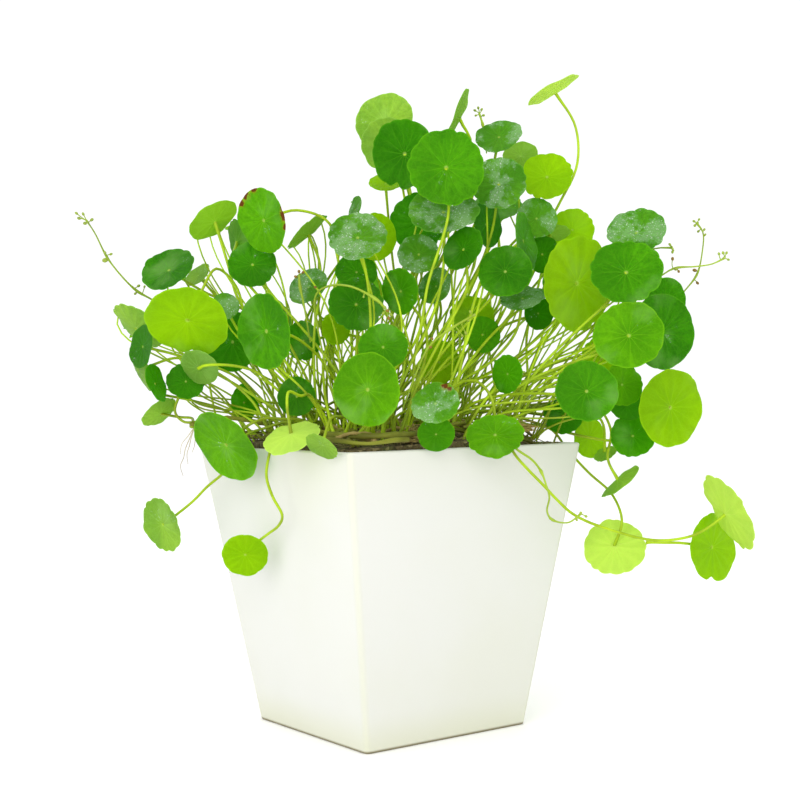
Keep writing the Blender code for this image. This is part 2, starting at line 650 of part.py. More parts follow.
def tube(bm, points, radii, sides, start_way=None, end_way=None):
    """A tube along the points. An end with a given way is left open and faces that way."""
    points = [Vector(p) for p in points]
    start = Vector((0.0, 0.0, 1.0)) if abs((points[1] - points[0]).normalized().z) < 0.8 else Vector((1.0, 0, 0))
    loops = []
    for k, point in enumerate(points):
        before = points[max(k - 1, 0)]
        after = points[min(k + 1, len(points) - 1)]
        inward = (point - before).normalized() if k else (after - point).normalized()
        onward = (after - point).normalized() if k < len(points) - 1 else inward
        along = (inward + onward).normalized()
        if k == 0 and start_way is not None:
            along = Vector(start_way)
        if k == len(points) - 1 and end_way is not None:
            along = Vector(end_way)
        stretch = 1.0 / max(0.75, math.sqrt((1 + inward.dot(onward)) / 2))
        loop, start = ring(bm, point, along, radii[k] * stretch, sides, start)
        loops.append(loop)
    for before, after in zip(loops, loops[1:]):
        bridge(bm, before, after)
    if start_way is None:
        bm.faces.new(loops[0][::-1])
    if end_way is None:
        bm.faces.new(loops[-1])
    return loops[0], loops[-1]


def grow_blade(bm, blade, collar):
    """The blade as a thin dish: a lower and an upper rim loop and a middle point, joined to the stalk."""
    sides = next(count for width, count in BLADE_SIDES if blade.row[3] * MM <= width)
    swell = 1.0 / math.cos(math.pi / sides) ** 0.5
    lower, upper = [], []
    for k in range(sides):
        angle = 2 * math.pi * k / sides
        lower.append(bm.verts.new(blade.point(swell, angle, -BLADE_THICK * 0.35)))
        upper.append(bm.verts.new(blade.point(swell, angle, BLADE_THICK * 0.35)))
    bridge(bm, collar, lower)
    bridge(bm, lower, upper)
    top = bm.faces.new(upper)
    middle = bmesh.ops.poke(bm, faces=[top])["verts"][0]
    middle.co = Vector(blade.centre + blade.normal * BLADE_THICK * 0.8)


def material(kind):
    name = kind + "_finish"
    made = bpy.data.materials.get(name)
    if made is None:
        made = bpy.data.materials.new(name)
        made.use_nodes = True
        shader = made.node_tree.nodes["Principled BSDF"]
        shader.inputs["Base Color"].default_value = (*COLOURS[kind], 1.0)
        shader.inputs["Roughness"].default_value = ROUGHNESS[kind]
    return made


def finish(bm, name, kind, smooth_angle=40):
    bmesh.ops.recalc_face_normals(bm, faces=bm.faces)
    if bm.calc_volume(signed=True) < 0:
        bmesh.ops.reverse_faces(bm, faces=bm.faces)
    mesh = bpy.data.meshes.new(name)
    bm.to_mesh(mesh)
    bm.free()
    mesh.shade_smooth()
    mesh.set_sharp_from_angle(angle=math.radians(smooth_angle))
    mesh.materials.append(material(kind))
    made = bpy.data.objects.new(name, mesh)
    bpy.context.scene.collection.objects.link(made)
    return made


def square_block(bm, low_size, high_size, low, high, corner):
    """A tapered square block with rounded upright edges."""
    made = bmesh.ops.create_cube(bm, size=1.0)["verts"]
    for vert in made:
        size = high_size if vert.co.z > 0 else low_size
        height = high if vert.co.z > 0 else low
        vert.co = Vector((vert.co.x * size, vert.co.y * size, height))
    upright = [edge for edge in bm.edges if abs(edge.verts[0].co.z - edge.verts[1].co.z) > 0.001]
    bmesh.ops.bevel(bm, geom=upright, offset=corner, segments=3, profile=0.5, affect="EDGES")


def grow_ring(bm, face, share, height):
    """Draws a copy of the face to a share of its size at the given height, and returns the new face."""
    grown = bmesh.ops.extrude_face_region(bm, geom=[face])["geom"]
    bmesh.ops.delete(bm, geom=[face], context="FACES_ONLY")
    for item in grown:
        if isinstance(item, bmesh.types.BMVert):
            item.co = Vector((item.co.x * share, item.co.y * share, height))
    return next(item for item in grown if isinstance(item, bmesh.types.BMFace))


def build_pot():
    bm = bmesh.new()
    square_block(bm, POT_BASE, POT_TOP, 0.0, POT_HEIGHT, POT_CORNER)
    top = max(bm.faces, key=lambda face: face.calc_center_median().z)
    outer = list(top.edges)
    inside_top = POT_TOP / 2 - POT_WALL
    inside_low = pot_half(POT_FLOOR) - POT_WALL
    mouth = grow_ring(bm, top, inside_top / (POT_TOP / 2), POT_HEIGHT)
    inner = list(mouth.edges)
    grow_ring(bm, mouth, inside_low / inside_top, POT_FLOOR)
    bmesh.ops.bevel(bm, geom=outer + inner, offset=POT_RIM_ROUND, segments=2, profile=0.5, affect="EDGES")
    foot = [edge for edge in bm.edges if all(abs(v.co.z) < 1e-6 for v in edge.verts)]
    bmesh.ops.bevel(bm, geom=foot, offset=POT_FOOT_ROUND, segments=2, profile=0.5, affect="EDGES")
    return finish(bm, "pot", "pot", 30)


def build_soil():
    bm = bmesh.new()
    low = POT_FLOOR + GAP
    wall_level = SOIL_PEAK - SOIL_FALL
    low_half = pot_half(low) - POT_WALL - 2 * GAP
    high_half = SOIL_HALF
    square_block(bm, low_half * 2, high_half * 2, low, wall_level, SOIL_CORNER)
    top = max(bm.faces, key=lambda face: face.calc_center_median().z)
    for share in SOIL_RINGS:
        top = grow_ring(bm, top, share, wall_level)
    bmesh.ops.poke(bm, faces=[top])
    for vert in bm.verts:
        if vert.co.z > low + 0.001:
            vert.co.z = soil_height(vert.co.x, vert.co.y)
    return finish(bm, "soil", "soil", 60)


def build_pair(name, group, feet, routes):
    bm = bmesh.new()
    if len(group) == 2:
        first, second = routes[0][::-1], routes[1]
        points = list(first) + list(second)
        radii = [STALK_RADIUS] * len(points)
        radii[len(first) - 1] = RUNNER_RADIUS
        radii[len(first)] = RUNNER_RADIUS
        start, end = tube(bm, points, radii, 4, -group[0].normal, group[1].normal)
        grow_blade(bm, group[0], start)
        grow_blade(bm, group[1], end)
    else:
        points = list(routes[0])
        radii = list(np.linspace(FOOT_RADIUS, STALK_RADIUS, len(points)))
        _, end = tube(bm, points, radii, 4, end_way=group[0].normal)
        grow_blade(bm, group[0], end)
    return finish(bm, name, "leaf", 50)


def build_runner(name, points, start_radius, end_radius):
    bm = bmesh.new()
    path = smooth_path([place(*point) for point in points], 2 * len(points) - 1)
    radii = []
    for k in range(len(path)):
        share = k / (len(path) - 1)
        plain = (start_radius + (end_radius - start_radius) * share) * MM
        radii.append(plain * (1.25 if k % 3 == 1 else 1.0))
    tube(bm, path, radii, 6)
    return finish(bm, name, "runner", 50)


def build_flower_stalk(name, places, buds):
    bm = bmesh.new()
    path, radii = [], []
    for k, spot in enumerate(places):
        if k in buds:
            onward = places[k + 1] - spot
            step = unit(onward) * BUD_RADIUS
            if k == 0:
                path += [spot - step * 0.6, spot + step * 0.3, spot + step * 1.4]
                radii += [BUD_RADIUS * 0.5, BUD_RADIUS, FLOWER_RADIUS]
            else:
                path += [spot - step, spot, spot + step]
                radii += [FLOWER_RADIUS, BUD_RADIUS * 0.8, FLOWER_RADIUS]
        else:
            path.append(spot)
            radii.append(FLOWER_RADIUS)
    tube(bm, path, radii, 4)
    return finish(bm, name, "flower", 50)


def main():
    for old in list(bpy.data.objects):
        bpy.data.objects.remove(old, do_unlink=True)
    pairs, feet, routes, flowers = plan_plant()
    build_pot()
    build_soil()
    for name, (points, start_radius, end_radius) in RUNNERS.items():
        build_runner(name, points, start_radius, end_radius)
    for name, (_, buds) in FLOWER_STALKS.items():
        build_flower_stalk(name, flowers[name], buds)
    for name, group in pairs.items():
        build_pair(name, group, feet[name], routes[name])
    return pairs, feet, routes, flowers


PLAN = main()
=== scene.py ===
# Potted water pennywort: the looks of the pot, soil, leaves, stalks and flowers
import math
import random

import bmesh
import bpy
import numpy as np
from mathutils import Matrix, Vector, noise


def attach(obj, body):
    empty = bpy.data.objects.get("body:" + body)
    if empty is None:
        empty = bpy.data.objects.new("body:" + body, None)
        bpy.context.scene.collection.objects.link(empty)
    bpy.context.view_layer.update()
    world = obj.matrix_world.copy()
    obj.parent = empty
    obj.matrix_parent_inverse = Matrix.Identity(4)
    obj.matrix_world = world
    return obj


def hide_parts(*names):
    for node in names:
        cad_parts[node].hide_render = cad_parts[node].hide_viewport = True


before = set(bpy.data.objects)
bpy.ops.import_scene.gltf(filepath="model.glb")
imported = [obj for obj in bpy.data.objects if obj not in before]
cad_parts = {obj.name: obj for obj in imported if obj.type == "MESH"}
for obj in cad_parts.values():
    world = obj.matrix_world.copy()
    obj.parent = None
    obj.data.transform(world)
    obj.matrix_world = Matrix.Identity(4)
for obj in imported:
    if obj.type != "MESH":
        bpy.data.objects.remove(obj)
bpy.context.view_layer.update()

mm = 0.001
potTop = 0.1625
potBase = 0.1125
potHeight = 0.164
potWall = 0.0045
potFloor = 0.006
seam = 0.0003
soilPeak = 0.171
soilFall = 0.0065
soilHalf = potTop / 2 - potWall - 3 * seam

# Places are read in mm on an upright plane through the pot's axis, turned to face a corner of the pot:
# right, up and ahead, towards a viewer. What is nearer to the viewer is moved along the line of sight.
viewTurn = math.radians(-36.0)
eyeRight = 0.0085
eyeAhead = 0.848
eyeUp = 0.1944
rightWay = np.array([math.cos(viewTurn), math.sin(viewTurn), 0.0])
aheadWay = np.array([math.sin(viewTurn), -math.cos(viewTurn), 0.0])
upWay = np.array([0.0, 0.0, 1.0])
flatWays = np.array([1, 1, 0])
eye = rightWay * eyeRight + aheadWay * eyeAhead + upWay * eyeUp

bladeThick = 0.0010
stalkRadius = 0.0009
footRadius = 0.0012
runnerRadius = 0.0014
# the gaps kept between blades, stalks and the pot
bladeGap = 0.0018
stalkGap = 0.0032
stalkToBlade = 0.0022
potClear = 0.0013
flowerRoom = 0.0008
# the step and the most steps by which a blade is moved along its line of sight (mm)
settleStep = 2.0
settleSteps = 21
# blades farther apart than their rims and this aren't compared, nor a stalk and a blade past stalkRoom
neighbour = 0.006
stalkRoom = 0.004
# the overlap past which a stalk's way is given up
hopeless = -0.002
# how far a stalk bows aside to find a free way, and the share that is left to a stalk whose way is known
pushes = (0.0, 0.004, 0.008, 0.012, 0.017, 0.023, 0.030, 0.038, 0.047)
knownBow = 0.6
sideBow = 0.3
# pieces that a stalk is cut into to be compared, and how many belong to its foot and its tip
stalkCuts = 40
footCuts = 3
tipCuts = 4
stalkSteps = 5
smallStalkSteps = 4
smallBlade = 0.013
# a stalk rises straight from the soil at first, leans outwards, and meets its blade from below
footRise = 0.008
outwardLean = 0.35
arrive = 0.004
leastArrival = 0.35
sharpestBend = 0.05
# crowns, where two stalks rise from a short runner, take cells of a grid on the soil under their leaves
crownStep = 0.020
crownCells = 7
crownLength = 0.011
crownShare = 0.62
crownReach = 0.062
# how far a flower stalk is moved along the line of sight (mm)
flowerShifts = (0, 5, -5, 10, -10, 16, -16, 24, -24, 34, -34)

# each leaf: finish, right, up, ahead, width (mm), slant from facing the viewer (degrees, past 90 the
# underside shows), the side that its face turns to (degrees, 0 right, 90 up), how far its rim rises as a
# share of its radius, and the points that its stalk passes. The first two are single leaves, the rest pairs.
leafTable = {
    "right_hanging": (("sunlit", 201, 120, 45, 51, 110, 30, 0.06, (195.5, 117, 44), (189, 111, 42),
         (180, 107.5, 40), (166, 105.3, 38), (152, 106.3, 38), (140, 109.5, 39), (128, 113.5, 40),
         (116, 118, 42), (107, 123, 44), (99, 130.5, 47), (90, 140.5, 51), (82, 149, 55), (75, 157.5, 59),
         (68, 169, 62)),),
    "right_low_hanging": (("lime", 192, 100, 24, 41.5, 52, 0, 0.06, (180, 102, 28), (171, 103, 32),
         (162, 103.2, 35), (153, 103.6, 36)),),
    "left_shoulder": (("deep", -127, 269, 20, 34, 52, 120, 0.1),
        ("dusty", -94, 247, 28, 17, 20, 100, 0.08)),
    "left_large": (("lime", -116.5, 239, 55, 50, 39, 255, 0.06, (-108, 256, 46), (-102, 267, 38),
         (-94, 270, 30), (-87, 258, 25), (-82, 240, 22)),
        ("deep", -90, 226, 5, 36, 25, 170, 0.08)),
    "left_raised": (("lime", -99.5, 297.5, 20, 32, 122, 125, 0.1, (-96, 288, 22), (-92, 272, 18),
         (-87, 252, 14)),
        ("deep", -86, 285, 8, 27, 118, 15, 0.12)),
    "left_bright": (("browned", -70.5, 297.5, 50, 39, 45, 192, 0.05, (-58, 302, 42), (-45, 303, 36),
         (-34, 299, 30), (-25, 286, 22), (-22, 262, 14)),
        ("deep", -77.5, 271.5, 35, 29, 20, 90, 0.08)),
    "left_front": (("mid", -70, 232, 75, 46, 48, 185, 0.08), ("dusty", -44.5, 257.5, 25, 26, 48, 125, 0.1)),
    "left_outer": (("pale", -147, 235, 12, 36, 65, 228, -0.14, (-141, 238, 0), (-133, 233, -4),
         (-125, 224, -2), (-112, 214, 6), (-92, 203, 8)),
        ("deep", -143, 224, 33, 27, 62, 170, 0.08)),
    "left_edge": (("pale", -146, 210, 22, 30, 77, 204, -0.16, (-141, 212.5, 20), (-133, 214.5, 18),
         (-124.7, 217, 16), (-108, 212, 12), (-90, 203, 8)),
        ("mid", -136.5, 202, 36, 24, 65, 20, 0.12)),
    "left_knot": (("deep", -118, 203, 30, 23, 20, 100, 0.08, (-124.5, 189, 27), (-123.5, 182.5, 27),
         (-119, 179, 26)),
        ("pale", -133.5, 184.5, 20, 23.5, 120, 125, 0.1, (-124, 182.5, 24))),
    "left_under": (("pale", -110, 211, 42, 24, 140, 50, 0.08, (-108, 211.5, 52), (-100, 213.2, 50),
         (-88, 211.5, 44), (-76, 208, 40), (-67, 203, 36), (-62, 194, 34)),
        ("mid", -84, 190, -5, 22, 40, 0, 0.08)),
    "left_corner": (("bright", -95, 165, 48, 47, 53, 218, 0.06, (-83, 175.5, 54), (-75, 180, 52),
         (-66, 180, 48)),
        ("pale", -133, 118.5, 8, 33.5, 53, 200, 0.06, (-124, 125, 10), (-115, 132, 12), (-107, 140, 15),
         (-98, 147, 18), (-90, 158, 22), (-84, 170, 24))),
    "front_left_hanging": (("lime", -84.5, 100, 48, 27.5, 27, 250, 0.08, (-77, 107.5, 44), (-66, 116, 49),
         (-60.5, 121.5, 54), (-63.5, 130, 55), (-68, 140, 55), (-69.5, 149, 56), (-68, 159, 58),
         (-65, 169, 56)),
        ("sunlit", -56, 170.5, 92, 36, 117, 290, 0.1, (-57.3, 180, 88), (-58.5, 190, 84), (-57.5, 196, 80),
         (-51.5, 193, 74), (-46, 195, 66))),
    "front_left_rim": (("pale", -37.5, 164, 104, 22, 60, 235, 0.12, (-36, 172, 100), (-33, 179, 95),
         (-29, 182, 88), (-24, 180, 78)),
        ("deep", -52.5, 193, 42, 24, 20, 170, 0.06)),
    "middle_glossy": (("dusty", -15, 286.5, 70, 36, 40, 95, 0.08, (-10, 270, 60), (-9.5, 255, 59),
         (-9.3, 238, 56), (-9, 215, 50)),
        ("dusty", -16, 303, 10, 17, 70, 160, 0.1)),
    "middle_left": (("deep", -16.5, 247, 45, 33, 15, 100, 0.06), ("deep", -16, 266, 28, 25, 30, 90, 0.1)),
    "middle_right": (("mid", 10, 254.5, 48, 27.5, 38, 190, 0.08), ("dusty", 21, 276, 30, 25, 20, 90, 0.08)),
    "middle_low": (("mid", -1, 221.5, 85, 29.5, 20, 90, 0.06), ("lime", -29, 233, 25, 20, 30, 0, 0.08)),
    "front_large": (("bright", -10.5, 196.5, 100, 44, 25, 170, 0.05),
        ("deep", -48, 226, 18, 24, 30, 180, 0.08)),
    "top_left": (("pale", 2.5, 354, -22, 36, 30, 120, 0.14), ("pale", 4, 341, -7, 33, 20, 180, 0.1)),
    "top_middle": (("deep", 13.5, 335.5, 20, 42, 25, 180, 0.08), ("lime", 2, 318, -5, 20, 60, 90, 0.1)),
    "top_front": (("mid", 38, 327, 50, 46, 12, 90, 0.05, (39.3, 306, 40), (38, 296, 50), (35.5, 286, 60),
         (30, 271, 62), (22.5, 246, 62), (15, 218, 58)),
        ("pale", 46, 356, 10, 36, 97, 155, 0.1, (50, 354, 8), (58, 348, 0))),
    "middle_dark": (("deep", 21, 295, -5, 35, 20, 180, 0.08), ("mid", -16, 286, -72, 30, 140, 95, 0.1)),
    "middle_dusty": (("dusty", 36, 301, 40, 42, 50, 90, 0.06), ("deep", 47.5, 278.5, 48, 28, 42, 140, 0.1)),
    "upper_right": (("dusty", 69.5, 344.5, 10, 28, 50, 100, 0.1, (72, 333, 6)),
        ("dusty", 69, 317, 28, 33, 22, 90, 0.08)),
    "upper_outer": (("pale", 82, 333, -24, 21, 40, 90, 0.1), ("lime", 97.5, 320.5, 5, 32, 33, 90, 0.1)),
    "highest": (("sunlit", 103, 370.5, -10, 35, 100, 118, 0.12, (105.5, 366, -12), (113, 355, -12),
         (117, 341, -10), (115.5, 327, -8), (109, 311, -6), (98, 297, -6), (86, 272, -8)),
        ("lime", 112, 289, -18, 27, 25, 90, 0.08)),
    "right_upright": (("dusty", 91, 296, 12, 25, 20, 90, 0.08), ("mid", 83, 283, 35, 36, 72, 10, 0.08)),
    "right_largest": (("lime", 114.5, 257.5, 25, 57, 44, 0, 0.05), ("deep", 94, 275, 2, 22, 25, 0, 0.08)),
    "right_wet": (("mid", 143.5, 263.5, 50, 43, 28, 90, 0.08), ("mid", 166, 246, 0, 28, 30, 0, 0.08)),
    "right_shoulder": (("dusty", 150, 287, 15, 35, 40, 95, 0.08), ("pale", 99, 287, -8, 24, 115, 90, 0.08)),
    "right_front": (("bright", 144.5, 226, 70, 42.5, 22, 90, 0.06),
        ("bright", 140, 197, 42, 26, 25, 0, 0.08)),
    "right_dark": (("deep", 164, 228, 22, 46, 38, 0, 0.06), ("lime", 128, 213, -14, 26, 20, 0, 0.08)),
    "right_lime": (("lime", 168.5, 183, 42, 47, 40, 355, 0.05), ("mid", 146, 166.5, 18, 27, 20, 100, 0.08)),
    "right_round": (("mid", 119, 193.5, 75, 37.5, 15, 90, 0.06), ("deep", 143, 185, 28, 20, 20, 270, 0.08)),
    "right_corner": (("deep", 105, 179, 5, 23, 15, 90, 0.06),
        ("lime", 120, 166, -18, 24, 40, 0, 0.06, (118, 176, -26), (108, 184, -28))),
    "right_small": (("pale", 129.5, 157, -4, 15, 120, 295, 0.1, (129, 166, -4), (127, 177, -9),
         (115, 186, -13)),
        ("pale", 137, 140.5, 10, 28, 103, 310, 0.12, (134, 143, 13), (131, 150, 12), (131.5, 161, 10),
         (133, 172, 6), (127, 182, 0), (113, 188, -4))),
    "right_low": (("sunlit", 134, 101.5, 5, 37, 153, 280, 0.08, (135, 107, 12), (139, 117, 10),
         (137, 127, 4), (129, 137, -2), (117, 148, -8), (106, 161, -14), (96, 172, -16)),
        ("deep", 91, 240, 8, 20, 30, 0, 0.08)),
    "right_inner": (("deep", 72, 265, 55, 33, 25, 100, 0.06), ("dusty", 82, 249, 34, 28, 60, 95, 0.08)),
    "right_behind": (("deep", 61, 293, 15, 28, 55, 10, 0.08), ("browned", 68, 303, -2, 30, 60, 90, 0.08)),
    "middle_grey": (("dusty", 31, 257, 20, 23, 40, 150, 0.1), ("lime", 52, 238, 0, 27, 20, 90, 0.08)),
    "thicket": (("mid", 72.5, 204.5, 60, 23, 38, 180, 0.06), ("lime", 32, 212, 8, 26, 20, 0, 0.08)),
    "front_spotted": (("spotted", 29.5, 187.5, 104, 29, 32, 105, 0.08),
        ("mid", 29.5, 169.5, 92, 22, 20, 270, 0.06)),
    "front_rim": (("bright", 64.5, 168.5, 84, 34.5, 40, 272, 0.06, (64.5, 181, 78), (63, 189, 76),
         (60, 196, 74), (54, 200.3, 71), (47, 200.8, 66), (40.5, 196, 60)),
        ("mid", 58, 228, 20, 22, 20, 0, 0.08)),
    "middle_pale": (("pale", -44.5, 289, 10, 30, 103, 132, 0.12, (-41, 286, 10), (-38, 273, 20),
         (-38, 257, 32), (-42, 236, 46), (-43.5, 212, 56), (-43, 194, 58), (-42, 179, 56)),
        ("lime", -5, 287, 25, 29, 30, 0, 0.06)),
    "back_left": (("pale", -109.5, 265.5, -12, 18, 62, 130, 0.1),
        ("deep", -70, 236, -85, 34, 150, 60, 0.06)),
    "back_middle": (("bright", -15, 252, -115, 32, 155, 90, 0.08),
        ("mid", 27, 297, -105, 34, 150, 90, 0.06)),
    "back_top": (("mid", 12, 336, -60, 34, 135, 90, 0.08), ("bright", 38, 328, -95, 38, 145, 80, 0.06)),
    "back_right": (("deep", 72, 264, -100, 32, 150, 90, 0.08), ("mid", 114, 258, -70, 40, 150, 110, 0.06)),
    "back_low": (("lime", 145, 226, -60, 34, 140, 80, 0.08), ("mid", 118, 194, -75, 32, 135, 90, 0.06)),
    "back_hanging": (("bright", 24, 122, -134, 32, 150, 270, 0.08, (24, 140, -136), (22, 160, -134),
         (20, 174, -122), (14, 178, -100)),
        ("deep", -12, 200, -112, 36, 130, 90, 0.06)),
}
# each flower stalk: the points that it passes, the knots among them, then its buds: right, up and share of
# the full size, then "withered" where it is
flowerStalkTable = {
    "left": (((-175, 299, 20), (-170, 291, 20), (-163.5, 277.5, 20), (-155, 266, 20), (-146, 257, 20),
         (-136, 251, 20), (-118, 238, 16), (-92, 212, 6), (-66, 184, -2)),
        (0, 2, 4),
        ((-176, 297.5, 1), (-172, 299.5, 0.9), (-181, 303.5, 0.8), (-177, 303, 0.8), (-179.5, 300.5, 0.9),
         (-164.5, 275.5, 1.4), (-164.5, 280, 0.9), (-161, 279, 0.8), (-145, 260, 0.9), (-141.5, 259.5, 0.7),
         (-147, 255.5, 0.8))),
    "right_tall": (((185.5, 292, -8), (189.3, 286, -8), (188.8, 276, -8), (185.5, 262, -8), (177, 251, -10),
         (160, 232, -14), (132, 208, -14), (104, 188, -14)),
        (0, 3),
        ((184, 293, 0.8), (186, 292, 0.9), (184.5, 290.5, 0.9), (187, 294, 0.7), (190, 288, 0.8),
         (190.5, 285, 0.7), (186.5, 287, 0.8), (184, 264, 1.1, "withered"),
         (185.5, 256.5, 0.9, "withered"))),
    "right_flat": (((202, 271, 20), (194, 267.5, 20), (184, 266.2, 20), (172.5, 265.5, 20), (164, 261, 18),
         (148, 250, 4), (120, 226, -4), (92, 192, -8)),
        (0, 3),
        ((198.5, 273.5, 0.8), (201, 274, 0.9), (203, 274, 0.8), (201.5, 271, 0.9), (204, 270, 0.8),
         (173, 265, 1), (174.5, 263.5, 0.8, "withered"), (171, 271, 0.9, "withered"))),
    "right_small": (((171, 277.5, 2), (160, 277, -4), (144, 270, -18), (120, 240, -24), (96, 205, -22),
         (78, 184, -18)),
        (0,),
        ((169.5, 279.5, 0.8), (170.5, 278, 0.8), (171, 277, 0.8), (171.5, 276, 0.7), (171, 275, 0.8))),
    "front": (((114.5, 121, 50), (107, 116, 50), (98, 117.5, 53), (94.5, 123, 56), (96, 131, 56),
         (94, 139, 57), (91.3, 146.5, 59), (86, 153.5, 60), (77, 160, 64), (66, 171, 66)),
        (0, 2, 6),
        ((114.5, 121.5, 0.9), (117.5, 119.5, 0.8), (112, 117.5, 0.7), (96.5, 118.5, 0.8))),
}
# how far a deeper cleft in the rim opens in the photo's plane (degrees, 90 up), by leaf
clefts = {("left_large", 0): 270, ("right_low_hanging", 0): 250, ("top_middle", 0): 250}
# brown patches by finish: leaf, which one of the pair, right and up in the photo's plane and size (mm)
stainTable = {
    "browned": (("left_bright", 0, -88, 310, 2.6), ("left_bright", 0, -84, 316, 3.0),
                ("left_bright", 0, -78, 320, 2.4), ("left_bright", 0, -52, 307, 2.0),
                ("left_bright", 0, -51, 301, 3.2), ("left_bright", 0, -51, 295, 2.4),
                ("right_behind", 1, 73, 306, 3.2)),
    "spotted": (("front_spotted", 0, 35.5, 197.5, 1.7), ("front_spotted", 0, 38.5, 196, 1.5)),
}
leftKnot = (-113.5, 177.6, 25)
# runners: their points and the radius at each end (mm)
runnerTable = {
    "runner_front": (((-35, 170.5, 74), (-24, 169.5, 86), (-10, 169, 94), (4, 169.5, 92), (16, 170, 84),
                      (28, 171.5, 74)), 1.9, 1.5),
    "runner_left": (((-70, 177, 16), (-84, 180, 18), (-96, 181, 20), (-108, 178.5, 24)), 1.5, 1.3),
}


# the point in the room of a place read on the plane
def place(right, up, ahead):
    share = ahead * mm / eyeAhead
    side = right * mm + (eyeRight - right * mm) * share
    height = up * mm + (eyeUp - up * mm) * share
    return rightWay * side + aheadWay * (ahead * mm) + upWay * height


# and the place of a point
def readPlace(spot):
    sideways, forwards = spot @ rightWay, spot @ aheadWay
    share = forwards / eyeAhead
    return ((sideways - eyeRight * share) / (1 - share) / mm, (spot[2] - eyeUp * share) / (1 - share) / mm,
            forwards / mm)


def unit(vector):
    return vector / np.linalg.norm(vector)


def potHalf(height):
    return (potBase + (potTop - potBase) * height / potHeight) / 2


def soilHeight(x, y):
    return soilPeak - soilFall * (x * x + y * y) / (2 * soilHalf * soilHalf)


# one leaf blade: a round dish on its own axes, with the gap from any point to it
class Blade:
    def __init__(self, row, number):
        self.look, self.right, self.up, self.firstAhead, self.width, self.slant, self.lean, self.cup = row[:8]
        self.number = number
        self.phase = 2.4 * number
        self.wave = 0.035 + 0.015 * math.sin(1.7 * number)
        self.via = [place(*point) for point in row[8:]]
        self.setAhead(self.firstAhead)

    def setAhead(self, ahead):
        self.centre = place(self.right, self.up, ahead)
        sight = unit(eye - self.centre)
        side = unit(np.cross(upWay, sight))
        slant, lean = math.radians(self.slant), math.radians(self.lean)
        tilt = math.cos(lean) * side + math.sin(lean) * np.cross(sight, side)
        self.normal = math.cos(slant) * sight + math.sin(slant) * tilt
        self.axisU = unit(math.cos(slant) * tilt - math.sin(slant) * sight)
        self.axisV = np.cross(self.normal, self.axisU)
        self.radius = self.width / 2 * mm * (eyeAhead - ahead * mm) / eyeAhead

    def height(self, share, angle):
        return self.radius * share * share * (self.cup + self.wave * np.cos(2 * angle + self.phase))

    def point(self, share, angle):
        reach = self.radius * share
        return (self.centre + self.axisU * reach * math.cos(angle) + self.axisV * reach * math.sin(angle)
                + self.normal * self.height(share, angle))

    # the point on the blade that is seen nearest to a place in the photo's plane
    def spot(self, right, up):
        found = [self.point(share, turn) for share in np.linspace(0, 1, 13)
                 for turn in np.linspace(0, 2 * math.pi, 61)]
        return min(found, key=lambda point: math.dist(readPlace(point)[:2], (right, up)))

    def samples(self):
        points = [self.centre]
        for share, count in ((0.5, 8), (0.8, 12), (1.0, 18)):
            points += [self.point(share, 2 * math.pi * k / count) for k in range(count)]
        return np.array(points)

    def gap(self, points):
        local = points - self.centre
        u, v, h = local @ self.axisU, local @ self.axisV, local @ self.normal
        reach = np.hypot(u, v)
        rise = h - self.height(np.minimum(reach / self.radius, 1.0), np.arctan2(v, u))
        return np.hypot(rise, np.maximum(reach - self.radius, 0.0))


# clearance from the pot's walls and the soil, negative inside them
def potGap(points):
    x, y, z = np.abs(points[:, 0]), np.abs(points[:, 1]), points[:, 2]
    beside = np.maximum(x, y) - potHalf(np.clip(z, 0, potHeight))
    overSoil = np.where(beside < 0, z - soilHeight(x, y), 1.0)
    return np.minimum(np.maximum(beside, z - potHeight), overSoil)


# move each blade along its line of sight until it clears the pot and the blades before it
def settleBlades(blades):
    steps = [0.0] + [sign * settleStep * k for k in range(1, settleSteps + 1) for sign in (1, -1)]
    done = []
    for blade in blades:
        best = None
        for step in steps:
            blade.setAhead(blade.firstAhead + step)
            points = blade.samples()
            gap = potGap(points).min() - bladeGap * 0.6
            for other in done:
                if np.linalg.norm(other.centre - blade.centre) > other.radius + blade.radius + neighbour:
                    continue
                apart = min(other.gap(points).min(), blade.gap(other.samples()).min())
                gap = min(gap, apart - bladeGap)
                if best and gap <= best[0]:
                    break
            if best is None or gap > best[0]:
                best = (gap, blade.firstAhead + step)
            if gap >= 0:
                break
        blade.setAhead(best[1])
        done.append(blade)


def resample(points, count):
    run = np.concatenate([[0], np.cumsum(np.linalg.norm(np.diff(points, axis=0), axis=1))])
    places = np.linspace(0, run[-1], count)
    return np.stack([np.interp(places, run, points[:, k]) for k in range(3)], axis=1)


# points along a smooth curve through the given ones, evenly spaced
def smoothPath(points, count):
    points = [np.array(p) for p in points]
    ends = [2 * points[0] - points[1]] + points + [2 * points[-1] - points[-2]]
    fine = []
    for a, b, c, d in zip(ends, ends[1:], ends[2:], ends[3:]):
        for k in range(12):
            t = k / 12
            fine.append(0.5 * (2 * b + (c - a) * t + (2 * a - 5 * b + 4 * c - d) * t * t
                               + (3 * b - a - 3 * c + d) * t ** 3))
    return resample(np.array(fine + [points[-1]]), count)


# a stalk from the soil to a blade: it leaves along lean, comes in along the blade's axis, and bows sideways
def arch(start, lean, end, axis, bow):
    span = np.linalg.norm(end - start)
    b = start + lean * 0.40 * span
    c = end - axis * min(0.30 * span, 0.035)
    t = np.linspace(0, 1, 17)[:, None]
    curve = (1 - t) ** 3 * start + 3 * (1 - t) ** 2 * t * b + 3 * (1 - t) * t * t * c + t ** 3 * end
    return curve + np.sin(math.pi * t) ** 2 * bow


